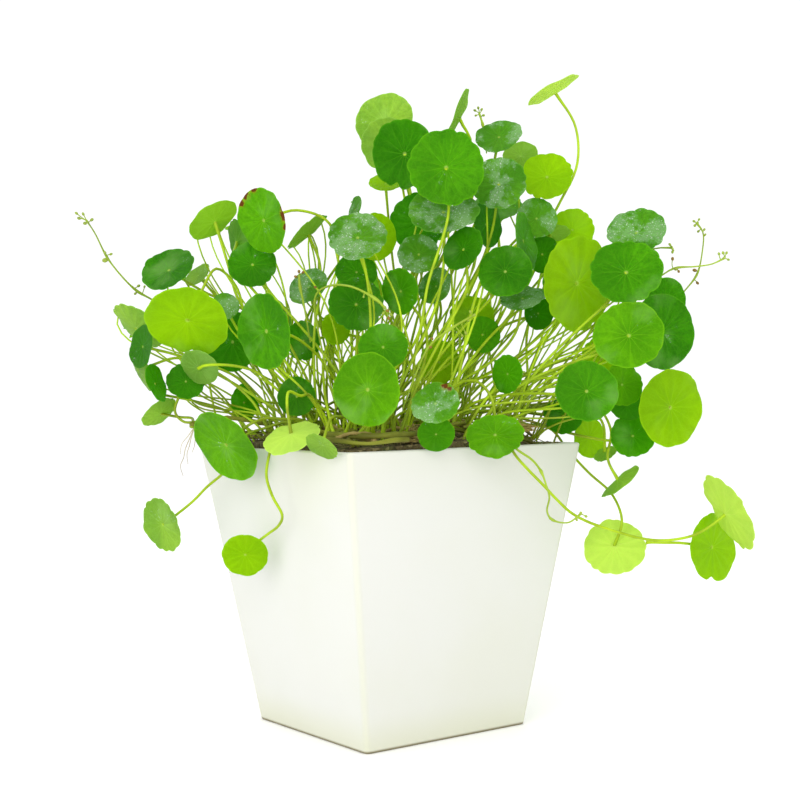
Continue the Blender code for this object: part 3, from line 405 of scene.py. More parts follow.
# smallest distance from any of the points to any of the segments
def segmentGap(points, starts, ends):
    if len(starts) == 0:
        return 1.0
    way = ends - starts
    length = np.maximum((way * way).sum(1), 1e-12)
    off = points[:, None, :] - starts[None, :, :]
    t = np.clip((off * way[None]).sum(2) / length[None], 0, 1)
    near = starts[None] + way[None] * t[:, :, None]
    return np.linalg.norm(points[:, None, :] - near, axis=2).min()


# the stalks laid so far, as segments that the next stalk keeps clear of
class Thicket:
    def __init__(self, blades):
        self.blades = blades
        self.starts = np.zeros((0, 3))
        self.ends = np.zeros((0, 3))
        for points, _, _ in runnerTable.values():
            self.add(smoothPath([place(*point) for point in points], 2 * len(points)))

    def add(self, path):
        self.starts = np.vstack([self.starts, path[:-1]])
        self.ends = np.vstack([self.ends, path[1:]])

    # how far the path clears the stalks, the pot and all blades, less the gaps that are kept
    def gap(self, path, own=None):
        fine = resample(path, stalkCuts)
        stalks = segmentGap(fine[1:-1], self.starts, self.ends) - stalkGap
        if stalks < hopeless:
            return stalks
        low, high = fine.min(0) - stalkRoom, fine.max(0) + stalkRoom
        worst = min(stalks, potGap(fine[footCuts:]).min() - potClear)
        for blade in self.blades:
            apart = np.any(blade.centre + blade.radius < low) or np.any(blade.centre - blade.radius > high)
            if blade is not own and not apart:
                worst = min(worst, blade.gap(fine).min() - stalkToBlade)
        if own:
            ways = np.diff(path, axis=0)
            ways /= np.linalg.norm(ways, axis=1)[:, None]
            fromBelow = ways[-1] @ own.normal - leastArrival
            openBends = (ways[1:] * ways[:-1]).sum(1).min() - sharpestBend
            offBlade = own.gap(fine[:-tipCuts]).min() - stalkRadius
            worst = min(worst, offBlade, fromBelow * arrive, openBends * arrive)
        return worst


# where a leaf's stalk comes down: the last point that it passes, or else the blade itself
def stalkEnd(blade):
    return blade.via[-1] if blade.via else blade.centre


# a free place on the soil for each pair of leaves, the outermost pairs first
def chooseCrowns(pairs):
    cells = [np.array((i - (crownCells - 1) / 2, j - (crownCells - 1) / 2)) * crownStep
             for i in range(crownCells) for j in range(crownCells)]
    wanted = []
    for name, blades in pairs.items():
        mean = np.mean([0.5 * blade.centre[:2] + 0.5 * stalkEnd(blade)[:2] for blade in blades], axis=0)
        wanted.append((np.linalg.norm(mean), name, mean))
    crowns = {}
    for far, name, mean in sorted(wanted, key=lambda item: -item[0]):
        goal = mean * min(crownShare, crownReach / max(far, 1e-6))
        cells.sort(key=lambda cell: float(np.linalg.norm(cell - goal)))
        crowns[name] = cells.pop(0)
    return crowns


# the stalk's points from foot to blade: the first of many bows that keeps clear, or the clearest
def layStalk(blade, foot, thicket):
    end = blade.centre - blade.normal * bladeThick / 2
    outward = blade.centre * flatWays
    outward = outward / max(np.linalg.norm(outward), 0.02)
    across = unit(np.cross(upWay, unit(end - foot)) + rightWay * 1e-4)
    over = np.cross(unit(end - foot), across)
    best = None
    steps = stalkSteps if blade.radius > smallBlade else smallStalkSteps
    rise = [foot + upWay * footRise] if np.abs(foot[:2]).max() < soilHalf else []
    if blade.via:
        steps = len(blade.via) + 2 + len(rise)
    for push in pushes:
        for turn in range(1 if push == 0 else 8):
            angle = 2 * math.pi * turn / 8
            if blade.via:
                bow = (aheadWay * math.cos(angle) + rightWay * sideBow * math.sin(angle)) * push * knownBow
                points = [end, end - blade.normal * arrive] + blade.via + rise + [foot]
                curve = smoothPath(points, 60)[::-1]
                share = np.linspace(0, 1, len(curve))[:, None]
                curve = curve + bow * np.sin(math.pi * share) ** 2
            else:
                bow = (across * math.cos(angle) + over * math.sin(angle)) * push
                curve = arch(foot, unit(upWay + outward * outwardLean), end, blade.normal, bow)
            path = resample(curve, steps + 1)
            gap = thicket.gap(path, blade)
            if best is None or gap > best[0]:
                best = (gap, path)
            if gap >= 0:
                return path
    return best[1]


# a flower stalk's points, moved only along the line of sight until it keeps clear
def layFlowerStalk(points, thicket):
    best = None
    share = np.linspace(0, 1, len(points))
    for shift in flowerShifts:
        for bend in flowerShifts:
            spots = [place(right, up, ahead + shift * (1 - s) + bend * math.sin(math.pi * s))
                     for (right, up, ahead), s in zip(points, share)]
            gap = thicket.gap(np.array(spots[::-1])) - flowerRoom
            if best is None or gap > best[0]:
                best = (gap, spots)
            if gap >= 0:
                return spots
    return best[1]


# the feet of the stalks that rise from a short runner on the soil
def crownFeet(crown, group):
    way = (stalkEnd(group[1]) - stalkEnd(group[0])) * flatWays
    way = unit(way) if np.linalg.norm(way) > 1e-4 else rightWay
    ends = [np.array([*(crown + way[:2] * sign * crownLength), 0.0]) for sign in (-0.5, 0.5)]
    level = max(soilHeight(*spot[:2]) for spot in ends + [crown])
    return [spot + upWay * (level + runnerRadius + 2 * seam) for spot in ends]


# the blades and stalk routes of every leaf and flower stalk, all clear of each other
def planPlant():
    pairs = {}
    for name, rows in leafTable.items():
        before = sum(len(group) for group in pairs.values())
        pairs[name] = [Blade(row, before + k) for k, row in enumerate(rows)]
    blades = [blade for group in pairs.values() for blade in group]
    settleBlades(blades)
    thicket = Thicket(blades)
    order = sorted(pairs, key=lambda name: -max(len(blade.via) for blade in pairs[name]))
    onSoil = {name: group for name, group in pairs.items() if len(group) == 2 and name != "left_knot"}
    crowns = chooseCrowns(onSoil)
    flat = pairs["right_hanging"][0].via[-1] * np.array([0.8, 0.8, 0])
    knot, knotStep = place(*leftKnot), upWay * 0.001 + rightWay * 0.0015
    feet = {"right_hanging": [flat + upWay * (soilHeight(*flat[:2]) + footRadius + seam * 3)],
            "right_low_hanging": [pairs["right_low_hanging"][0].via.pop()],
            "left_knot": [knot + knotStep, knot - knotStep]}
    for name in pairs:
        if name not in feet:
            feet[name] = crownFeet(crowns[name], pairs[name])
            thicket.add(np.array(feet[name]))
    routes = {name: [None] * len(pairs[name]) for name in pairs}
    flowers = {}
    # the stalks whose way is known come first, then the flower stalks, then the others
    for known in (True, False):
        for name, (points, _, _) in flowerStalkTable.items():
            if not known:
                flowers[name] = layFlowerStalk(points, thicket)
                thicket.add(np.array(flowers[name]))
        for name in order:
            for k, blade in enumerate(pairs[name]):
                if bool(blade.via) != known:
                    continue
                foot = feet[name][k]
                saved = thicket.starts, thicket.ends
                near = np.minimum(np.linalg.norm(thicket.starts - foot, axis=1),
                                  np.linalg.norm(thicket.ends - foot, axis=1)) > 1e-6
                thicket.starts, thicket.ends = thicket.starts[near], thicket.ends[near]
                routes[name][k] = layStalk(blade, foot, thicket)
                thicket.starts, thicket.ends = saved
                thicket.add(routes[name][k])
    return blades, pairs, routes, flowers


print("laying out the plant")
blades, pairs, routes, flowers = planPlant()


# a value in the material being made: sums of values add their nodes to its tree
class Value:
    tree = None

    def __init__(self, socket):
        self.socket = socket

    def __add__(self, other):
        return maths("ADD", self, other)

    def __sub__(self, other):
        return maths("SUBTRACT", self, other)

    def __rsub__(self, other):
        return maths("SUBTRACT", other, self)

    def __mul__(self, other):
        return maths("MULTIPLY", self, other)

    def __truediv__(self, other):
        return maths("DIVIDE", self, other)

    def __abs__(self):
        return maths("ABSOLUTE", self)

    # another output of the same node
    def beside(self, key):
        return Value(self.socket.node.outputs[key])


# a node of the material being made, with its inputs by name or number
def node(kind, inputs, out=0, **settings):
    made = Value.tree.nodes.new("ShaderNode" + kind)
    for key, value in settings.items():
        setattr(made, key, value)
    for key, value in inputs.items():
        if isinstance(value, Value):
            Value.tree.links.new(value.socket, made.inputs[key])
        else:
            made.inputs[key].default_value = value
    return Value(made.outputs[out]) if made.outputs else made


def newMaterial(name):
    made = bpy.data.materials.new(name)
    made.use_nodes = True
    made.node_tree.nodes.clear()
    Value.tree = made.node_tree
    return made


def maths(operation, *numbers):
    return node("Math", dict(enumerate(numbers)), operation=operation)


def ramp(value, low, high, toLow=0.0, toHigh=1.0):
    ends = {"Value": value, "From Min": low, "From Max": high, "To Min": toLow, "To Max": toHigh}
    return node("MapRange", ends, interpolation_type="SMOOTHSTEP")


def spots(vector, scale, detail=2.0, rough=0.5):
    return node("TexNoise", {"Vector": vector, "Scale": scale, "Detail": detail, "Roughness": rough})


def cells(vector, scale, feature="F1"):
    return node("TexVoronoi", {"Vector": vector, "Scale": scale}, feature=feature)


def rgba(colour):
    return colour if isinstance(colour, Value) else (*colour, 1.0)


def scaled(colour, factor):
    return [min(1.0, c * factor) for c in colour]


def between(first, second, share):
    return [c * (1 - share) + d * share for c, d in zip(first, second)]


# a colour laid over the shade by an amount that changes from place to place
def tint(shade, amount, colour):
    return node("Mix", {0: amount, 6: rgba(shade), 7: rgba(colour)}, 2, data_type="RGBA")


def surface(colour, rough, relief, strength, depth, gloss):
    bump = node("Bump", {"Height": relief, "Strength": strength, "Distance": depth})
    return node("BsdfPrincipled", {"Base Color": colour, "Roughness": rough, "Normal": bump} | gloss)


leafShape = {
    "lobes": 13, "lobeDepth": 0.080, "cleftDepth": 0.16, "cleftWidth": 0.13,
    "thickness": 0.00055, "bulge": 0.014, "ruffle": 0.028, "dimple": 0.05,
}
# colour of the upper side, of the light that comes through, of the veins, and how dusty the leaf is, which
# also sets how many painted glints it has
leafFinish = {
    "deep": ((0.038, 0.235, 0.002), (0.16, 0.60, 0.001), (0.13, 0.42, 0.01), 0.16),
    "mid": ((0.060, 0.295, 0.002), (0.21, 0.68, 0.001), (0.17, 0.48, 0.01), 0.10),
    "bright": ((0.098, 0.350, 0.002), (0.36, 0.82, 0.001), (0.25, 0.55, 0.01), 0.10),
    "lime": ((0.240, 0.475, 0.001), (0.62, 0.95, 0.001), (0.36, 0.62, 0.01), 0.00),
    "sunlit": ((0.580, 0.800, 0.165), (0.82, 1.00, 0.210), (0.62, 0.84, 0.20), 0.00),
    "pale": ((0.225, 0.430, 0.060), (0.54, 0.86, 0.080), (0.40, 0.62, 0.13), 0.22),
    "dusty": ((0.085, 0.290, 0.014), (0.24, 0.68, 0.014), (0.15, 0.42, 0.04), 1.00),
    "spotted": ((0.090, 0.320, 0.012), (0.30, 0.74, 0.012), (0.25, 0.50, 0.04), 1.00),
    "browned": ((0.085, 0.330, 0.002), (0.30, 0.76, 0.001), (0.22, 0.52, 0.01), 0.08),
}
# how strong the blotches and the painted sheen are on the leaves that light shines through evenly
calmLooks = {"lime": 0.4, "sunlit": 0.3}
veinLook = {"wobble": 0.42, "mainWidth": 0.013, "forkWidth": 0.011, "upper": 0.60, "under": 0.80}
# white specks, partly dust and partly painted glints of light on damp: cells to the metre, their size as a
# share of a cell, and how many are kept
glintLook = {"scales": (800.0, 1300.0), "size": (0.18, 0.40), "keep": (0.48, 0.88),
             "white": (0.88, 0.96, 0.82)}


# how near a point is to a vein: main veins fan out from the middle of the map and fork towards the rim
def leafVeins(flat, place3d, x, y, reach):
    look = veinLook
    part = 2 * math.pi / leafShape["lobes"]
    turn = maths("ARCTAN2", y, x) + (spots(place3d, 60.0) - 0.5) * look["wobble"]
    across = 0.5 - abs(maths("FRACT", turn / part) - 0.5)
    distance = across * part * reach
    main = ramp(distance, 0.0, look["mainWidth"], 1.0, 0.0) * ramp(reach, 0.15, 0.80, 1.0, 0.25)
    forkDistance = abs(across - ramp(reach, 0.40, 1.05) * 0.27) * reach * part
    fork = ramp(forkDistance, 0.0, look["forkWidth"], 0.45, 0.0) * ramp(reach, 0.42, 0.55)
    net = ramp(cells(flat, 15.0, "DISTANCE_TO_EDGE"), 0.0, 0.09, 0.35, 0.0) * ramp(reach, 0.25, 0.6)
    return maths("MAXIMUM", maths("MAXIMUM", main, fork), net), distance


# white specks in patches, partly dust and partly painted glints on damp, more of them the dustier the leaf is
def leafGlints(place3d, dustAndGlints):
    look = glintLook
    patch = ramp(spots(place3d, 75.0, 5.0, 0.68), 0.64 - 0.19 * dustAndGlints, 0.72 - 0.14 * dustAndGlints)
    kinds = []
    for scale in look["scales"]:
        grain = cells(place3d, scale)
        kinds.append(ramp(grain, *look["size"], 1.0, 0.0) * ramp(grain.beside("Color"), *look["keep"]))
    return maths("MAXIMUM", *kinds) * patch, patch


def leafMaterial(look, under):
    upper, through, vein, dustAndGlints = leafFinish[look]
    made = newMaterial("leaf_" + look + ("_underside" if under else ""))
    flat = node("UVMap", {})
    place3d = node("TexCoord", {}, "Object")
    apart = node("SeparateXYZ", {0: flat})
    x = apart * 2.0 - 1.0
    y = apart.beside(1) * 2.0 - 1.0
    reach = maths("SQRT", x * x + y * y)
    lines, distance = leafVeins(flat, place3d, x, y, reach)
    veins = lines * veinLook["under" if under else "upper"]

    blotchAndSheen = calmLooks.get(look, 1.0)
    body = between(upper, (0.34, 0.62, 0.12), 0.45) if under else upper
    yellower = [body[0] * 1.55, body[1] * 1.20, body[2]]
    broad = ramp(spots(place3d, 30.0), 0.36, 0.64)
    shade = tint(scaled(body, 1 - 0.34 * blotchAndSheen), broad, between(body, yellower, blotchAndSheen))
    rays = node("CombineXYZ", {0: x / reach * 4.5, 1: y / reach * 4.5, 2: reach})
    shade = tint(shade, ramp(spots(rays, 1.6, 3.0, 0.6), 0.45, 0.66, 0.0, 0.5 * blotchAndSheen), scaled(body, 0.62))
    shade = tint(shade, ramp(distance, 0.0, 0.16, 0.0, 0.25), scaled(body, 0.62))
    mottle = ramp(spots(flat, 19.0, 4.0, 0.62), 0.42, 0.68, 0.0, 0.5 * blotchAndSheen)
    shade = tint(shade, mottle, scaled(body, 0.50))
    # painted reflection: pale patches of sheen laid over the leaf colour
    paintedSheen = ramp(spots(place3d, 41.0, 3.0), 0.55, 0.74, 0.0, 0.45 * blotchAndSheen)
    shade = tint(shade, paintedSheen, between(body, (0.50, 0.68, 0.26), 0.5))
    shade = tint(shade, veins, between(vein, (0.42, 0.58, 0.20), 0.4) if under else vein)
    shade = tint(shade, ramp(reach, 0.955, 0.985, 0.0, 0.5), vein)
    shade = tint(shade, ramp(reach, 0.03, 0.075, 0.8, 0.0), (0.50, 0.64, 0.13))
    lit = tint(through, veins, [min(1.0, c * 1.15 + 0.03) for c in through])
    for name, which, right, up, size in stainTable.get(look, ()):
        centre = pairs[name][which].spot(right, up)
        away = node("VectorMath", {0: place3d, 1: centre}, "Value", operation="DISTANCE")
        size *= mm
        near = away + (spots(place3d, 380.0, 3.0) - 0.5) * (2.2 * size)
        core = ramp(near, size * 0.7, size, 0.95, 0.0)
        shade = tint(shade, ramp(near, size * 0.8, size * 1.5, 0.5, 0.0), (0.42, 0.34, 0.01))
        shade = tint(shade, core, (0.17, 0.04, 0.008))
        lit = tint(lit, core, (0.16, 0.03, 0.004))
    relief = veins * (1.0 if under else -1.0) + spots(flat, 12.0) * 0.8
    # a pale film of dust, and white specks that are partly dust and partly painted glints
    if dustAndGlints > 0 and not under:
        glints, patch = leafGlints(place3d, dustAndGlints)
        shade = tint(shade, patch * (0.40 * dustAndGlints), (0.42, 0.60, 0.36))
        shade = tint(shade, glints, glintLook["white"])
        relief = relief + glints
    rough = ramp(spots(flat, 14.0), 0.3, 0.7, *((0.55, 0.68) if under else (0.36, 0.50)))
    gloss = {"IOR": 1.45, "Specular IOR Level": 0.10 if under else 0.16,
             "Specular Tint": (0.85, 1.0, 0.40, 1.0)}
    skin = surface(shade, rough, relief, 0.35, 0.0006, gloss)
    glow = node("BsdfTranslucent", {"Color": lit})
    node("OutputMaterial", {0: node("MixShader", {0: 0.52 if under else 0.42, 1: skin, 2: glow})})
    return made


# colours low and high on the plant, the heights where they change, roughness and bump size; on the leaf and
# young stalks the darker low colour is painted shade near the soil
stemFinish = {
    "leaf_stalk": ((0.22, 0.30, 0.010), (0.34, 0.50, 0.010), 0.168, 0.225, 0.45, 0.0002),
    "young_stalk": ((0.24, 0.33, 0.010), (0.38, 0.56, 0.010), 0.168, 0.240, 0.45, 0.0002),
    "runner_stem": ((0.09, 0.09, 0.010), (0.19, 0.21, 0.018), 0.166, 0.182, 0.55, 0.0003),
    "straw_root": ((0.18, 0.13, 0.04), (0.38, 0.30, 0.09), 0.160, 0.182, 0.65, 0.0002),
    "flower_stalk": ((0.25, 0.36, 0.02), (0.28, 0.40, 0.03), 0.17, 0.26, 0.5, 0.0001),
    "flower_bud": ((0.30, 0.38, 0.04), (0.27, 0.36, 0.05), 0.12, 0.28, 0.55, 0.0002),
    "withered_bud": ((0.14, 0.08, 0.012), (0.26, 0.16, 0.03), 0.12, 0.28, 0.7, 0.0003),
    "hair_root": ((0.36, 0.30, 0.17), (0.56, 0.50, 0.34), 0.15, 0.18, 0.6, 0.0001),
}


# a plain body with soft colour changes along its height and over its surface, with painted shade low down on
# the leaf and young stalks; parts that hang below the foot height take the lighter high colour
def stemMaterial(name):
    low, high, foot, top, rough, bumpSize = stemFinish[name]
    made = newMaterial(name)
    place3d = node("TexCoord", {}, "Object")
    level = node("SeparateXYZ", {0: place3d}, 2) + (spots(place3d, 60.0, 3.0) - 0.5) * 0.03
    hanging = ramp(level, foot - 0.010, foot - 0.004, 1.0, 0.0)
    shade = tint(low, maths("MAXIMUM", ramp(level, foot, top), hanging), high)
    streak = spots(place3d, 140.0, 1.0)
    shade = tint(shade, ramp(streak, 0.35, 0.7, 0.0, 0.35), scaled(low, 0.6))
    shade = tint(shade, ramp(spots(place3d, 33.0, 1.0), 0.42, 0.62, 0.0, 0.5), scaled(high, 1.5))
    roughness = ramp(streak, 0.3, 0.7, rough - 0.08, rough + 0.08)
    skin = surface(shade, roughness, streak, 0.3, bumpSize, {"Specular IOR Level": 0.2})
    node("OutputMaterial", {0: skin})
    return made


# colours of the pot; the grey-yellow tint also paints the shade down the corners, and the dark foot colour is
# a painted shadow line
potFinish = {
    "wall": (0.665, 0.668, 0.630), "warm": (0.645, 0.650, 0.565), "stainAndShade": (0.60, 0.61, 0.45),
    "footShadowLine": (0.16, 0.13, 0.05), "roughness": (0.42, 0.58), "grainScale": 900.0,
}


def potMaterial():
    look = potFinish
    made = newMaterial("pot_white")
    place3d = node("TexCoord", {}, "Object")
    x = node("SeparateXYZ", {0: place3d})
    height = x.beside(2)
    cloud = spots(place3d, 9.0, 3.0)
    shade = tint(look["wall"], ramp(cloud, 0.35, 0.7, 0.0, 0.6), look["warm"])
    shade = tint(shade, ramp(height + cloud * 0.02, 0.130, 0.176, 0.0, 0.6), look["warm"])
    # a line of painted shade down each rounded corner, a darker, yellower tint towards the foot, and a
    # painted shadow line along the foot for the shadow gap under it
    inward = maths("MINIMUM", abs(x), abs(x.beside(1)))
    half = height * ((potTop - potBase) / 2 / potHeight) + potBase / 2
    shade = tint(shade, ramp(inward - half, -0.0042, -0.0008, 0.0, 0.45), look["stainAndShade"])
    shade = tint(shade, ramp(height, 0.0, 0.024, 0.6, 0.0), look["stainAndShade"])
    shade = tint(shade, ramp(height, 0.0006, 0.0020, 0.92, 0.0), look["footShadowLine"])
    fine = spots(place3d, look["grainScale"], 3.0)
    shade = tint(shade, ramp(fine, 0.55, 0.8, 0.0, 0.10), look["stainAndShade"])
    rough = ramp(cloud, 0.3, 0.7, *look["roughness"])
    skin = surface(shade, rough, fine * 0.12 + spots(place3d, 38.0), 0.12, 0.0008, {})
    node("OutputMaterial", {0: skin})
    return made


# dark, middle and light colours, and grains to the metre
earthFinish = {
    "potting_soil": ((0.032, 0.024, 0.008), (0.13, 0.10, 0.032), (0.34, 0.28, 0.12), 260.0),
    "root_mat": ((0.080, 0.062, 0.018), (0.25, 0.21, 0.06), (0.42, 0.37, 0.15), 420.0),
}


def earthMaterial(name, dark, mid, light, scale):
    made = newMaterial(name)
    place3d = node("TexCoord", {}, "Object")
    crumbs = spots(place3d, scale, 5.0, 0.65)
    flecks = cells(place3d, scale * 2.2)
    shade = tint(dark, ramp(crumbs, 0.32, 0.60), mid)
    shade = tint(shade, ramp(flecks.beside("Color"), 0.70, 0.80) * 0.7, light)
    shade = tint(shade, ramp(spots(place3d, 45.0, 3.0), 0.55, 0.72, 0.0, 0.45), (0.10, 0.15, 0.02))
    skin = surface(shade, ramp(crumbs, 0.3, 0.7, 0.95, 0.70), crumbs + flecks, 0.8, 0.0012, {})
    node("OutputMaterial", {0: skin})
    return made


print("materials")
leafSkins = {look: [leafMaterial(look, under) for under in (False, True)] for look in leafFinish}
stemSkins = {name: stemMaterial(name) for name in stemFinish}
earthSkins = {name: earthMaterial(name, *look) for name, look in earthFinish.items()}
potSkin = potMaterial()


# the finished piece, with what it stands for in the part
def addPiece(name, bm, skins, replaced=(), sharp=60.0):
    mesh = bpy.data.meshes.new(name)
    bm.to_mesh(mesh)
    bm.free()
    for skin in skins:
        mesh.materials.append(skin)
    mesh.shade_smooth()
    mesh.set_sharp_from_angle(angle=math.radians(sharp))
    piece = bpy.data.objects.new(name, mesh)
    bpy.context.scene.collection.objects.link(piece)
    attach(piece, "root")
    if replaced:
        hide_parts(*replaced)


# round tubes along paths, each path with a radius for every point, made from bevelled curves
def addTubes(bm, tubes, material, resolution=2):
    curve = bpy.data.curves.new("tubes", "CURVE")
    curve.dimensions = "3D"
    curve.bevel_depth = 1.0
    curve.bevel_resolution = resolution
    curve.use_fill_caps = True
    curve.resolution_u = 1
    for path, radii in tubes:
        line = curve.splines.new("POLY")
        line.points.add(len(path) - 1)
        for point, spot, radius in zip(line.points, path, radii):
            point.co = (*spot, 1.0)
            point.radius = radius
    holder = bpy.data.objects.new("tubes", curve)
    bpy.context.scene.collection.objects.link(holder)
    depsgraph = bpy.context.evaluated_depsgraph_get()
    mesh = bpy.data.meshes.new_from_object(holder.evaluated_get(depsgraph))
    bpy.data.objects.remove(holder)
    bpy.data.curves.remove(curve)
    firstVert, firstFace = len(bm.verts), len(bm.faces)
    bm.from_mesh(mesh)
    bpy.data.meshes.remove(mesh)
    bm.verts.ensure_lookup_table()
    bmesh.ops.remove_doubles(bm, verts=bm.verts[firstVert:], dist=1e-6)
    bm.faces.ensure_lookup_table()
    new = bm.faces[firstFace:]
    for face in new:
        face.material_index = material
    bmesh.ops.recalc_face_normals(bm, faces=new)


# the pattern every blade is bent from: a closed disc, and its points' shares of the radius, angles and sides
def discPattern(rings, segments):
    bm = bmesh.new()
    profile = [(share, 1) for share in rings] + [(1.0, 0)] + [(share, -1) for share in reversed(rings)]
    line = [bm.verts.new((share, 0.0, side * 0.05 * (1.2 - share))) for share, side in profile]
    edges = [bm.edges.new(pair) for pair in zip(line, line[1:])]
    bmesh.ops.spin(bm, geom=line + edges, cent=(0, 0, 0), axis=(0, 0, 1), dvec=(0, 0, 0), angle=2 * math.pi,
                   steps=segments, use_merge=True)
    bmesh.ops.remove_doubles(bm, verts=bm.verts, dist=1e-5)
    bmesh.ops.recalc_face_normals(bm, faces=bm.faces)
    uv = bm.loops.layers.uv.new("UVMap")
    for face in bm.faces:
        face.material_index = 0 if face.calc_center_median().z > 0 else 1
        for loop in face.loops:
            loop[uv].uv = (0.5 + 0.5 * loop.vert.co.x, 0.5 + 0.5 * loop.vert.co.y)
    mesh = bpy.data.meshes.new("disc")
    bm.to_mesh(mesh)
    bm.free()
    x, y, z = np.array([vert.co for vert in mesh.vertices], dtype=float).T
    return mesh, np.minimum(np.hypot(x, y), 1.0), np.arctan2(y, x), np.sign(np.round(z, 5))


# a copy of the pattern with its points moved; its underside takes the skin after the upper side's
def addDisc(bm, mesh, places, upper):
    firstVert, firstFace = len(bm.verts), len(bm.faces)
    bm.from_mesh(mesh)
    bm.verts.ensure_lookup_table()
    bm.faces.ensure_lookup_table()
    for vert, spot in zip(bm.verts[firstVert:], places):
        vert.co = spot
    for face in bm.faces[firstFace:]:
        face.material_index += upper


largeDisc = discPattern((0.0, 0.045, 0.10, 0.20, 0.34, 0.48, 0.62, 0.75, 0.86, 0.94, 0.98), 104)
smallDisc = discPattern((0.0, 0.06, 0.14, 0.30, 0.50, 0.70, 0.86, 0.96), 78)
largeBlade = 0.0135


# where the pattern's points lie on a blade: lobes, ruffles, a dimple over the stalk, and a cleft on some
def bendBlade(blade, share, angle, side, cleft):
    look = leafShape
    n = blade.number
    onBlade = angle + 0.9 * n
    uneven = angle + 0.10 * np.sin(2 * angle + 1.7 * n) + 0.05 * np.sin(5 * angle + 0.9 * n)
    lobe = np.abs(np.sin(look["lobes"] * uneven / 2)) ** 0.7
    depth = look["lobeDepth"] * (0.70 + 0.40 * math.sin(2.7 * n + 1.1))
    rim = 1.0 - depth * (1.0 - lobe) * (0.75 + 0.25 * np.sin(3 * angle + 2.3 * n)) * share ** 3
    rim *= 1.0 + (0.018 * np.cos(2 * angle + 1.3 * n) + 0.014 * np.cos(3 * angle + 2.1 * n)
                  + 0.008 * np.cos(7 * angle + 0.7 * n)) * share
    if cleft is not None:
        way = rightWay * math.cos(math.radians(cleft)) + upWay * math.sin(math.radians(cleft))
        gape = math.atan2(way @ blade.axisV, way @ blade.axisU)
        off = np.abs((onBlade - gape + math.pi) % (2 * math.pi) - math.pi)
        rim *= 1.0 - look["cleftDepth"] * np.exp(-(off / look["cleftWidth"]) ** 2) * share ** 2
    reach = blade.radius * share * rim
    lift = look["bulge"] * np.sin(math.pi * share) * (lobe - 0.5)
    lift = lift + look["ruffle"] * share ** 6 * (0.6 * np.sin(look["lobes"] * angle / 2 + 1.9 * n)
                                                 + 0.6 * np.sin(5 * angle + n) - 0.3)
    lift = lift - look["dimple"] * np.exp(-(share / 0.09) ** 2)
    thick = look["thickness"] * (1.0 + 0.9 * np.exp(-(share / 0.16) ** 2)) * (1.0 - 0.55 * share ** 8)
    rise = blade.height(share, onBlade) + blade.radius * lift + side * thick / 2
    return (blade.centre + np.outer(reach * np.cos(onBlade), blade.axisU)
            + np.outer(reach * np.sin(onBlade), blade.axisV) + np.outer(rise, blade.normal))


# radii, how much a stalk swells where it joins its blade, and how far the swellings reach along it
stalkLook = {"middle": 0.00080, "runner": 0.0014, "runnerReach": 0.035, "joint": 0.00025, "jointReach": 0.02,
             "perStep": 6}


# one smooth run from the first blade down to the soil, along the runner and up to the second blade
def stalkTube(ways):
    look = stalkLook
    corners = [*ways[0][::-1], *ways[1]] if len(ways) == 2 else list(ways[0])
    low = [len(ways[0]) - 1, len(ways[0])] if len(ways) == 2 else [0]
    joints = (0, 1) if len(ways) == 2 else (1,)
    path = smoothPath(corners, (len(corners) - 1) * look["perStep"] + 1)
    run = np.linspace(0, 1, len(path))
    total = np.concatenate([[0], np.cumsum(np.linalg.norm(np.diff(corners, axis=0), axis=1))])
    total /= total[-1]
    radii = np.full(len(path), look["middle"])
    for corner in low:
        swell = np.exp(-((run - total[corner]) / look["runnerReach"]) ** 2)
        radii = np.maximum(radii, look["middle"] + (look["runner"] - look["middle"]) * swell)
    for joint in joints:
        radii = radii + look["joint"] * np.exp(-((joint - run) / look["jointReach"]) ** 2)
    return path, radii


print("leaves and stalks")
for name, group in pairs.items():
    fullName = ("leaf_pair_" if len(group) == 2 else "leaf_") + name
    skins = [stemSkins["leaf_stalk"]]
    for blade in group:
        if leafSkins[blade.look][0] not in skins:
            skins += leafSkins[blade.look]
    bm = bmesh.new()
    bm.loops.layers.uv.new("UVMap")
    for k, blade in enumerate(group):
        mesh, *fields = largeDisc if blade.radius > largeBlade else smallDisc
        places = bendBlade(blade, *fields, clefts.get((name, k)))
        addDisc(bm, mesh, places, skins.index(leafSkins[blade.look][0]))
    addTubes(bm, [stalkTube(routes[name])], 0)
    addPiece(fullName + "_grown", bm, skins, (fullName,))

# the older blades, stalks and runners that the small pieces below keep clear of
grown = Thicket(blades)
for path in [way for ways in routes.values() for way in ways] + list(flowers.values()):
    grown.add(np.array(path))
youngLook = {
    "count": 150, "tries": 1600, "stalk": (0.00050, 0.00082), "leaf": (0.0026, 0.0048), "cup": 0.42,
    "thickness": 0.0004, "behind": (0.007, 0.028), "aside": 0.8, "hostHeights": (0.190, 0.318), "pull": 0.50,
    "spread": 0.020, "bow": 0.016, "inRim": 0.006, "toBlade": 0.0022, "toStalk": 0.0016, "steps": 20,
    "sunk": 0.001,
}


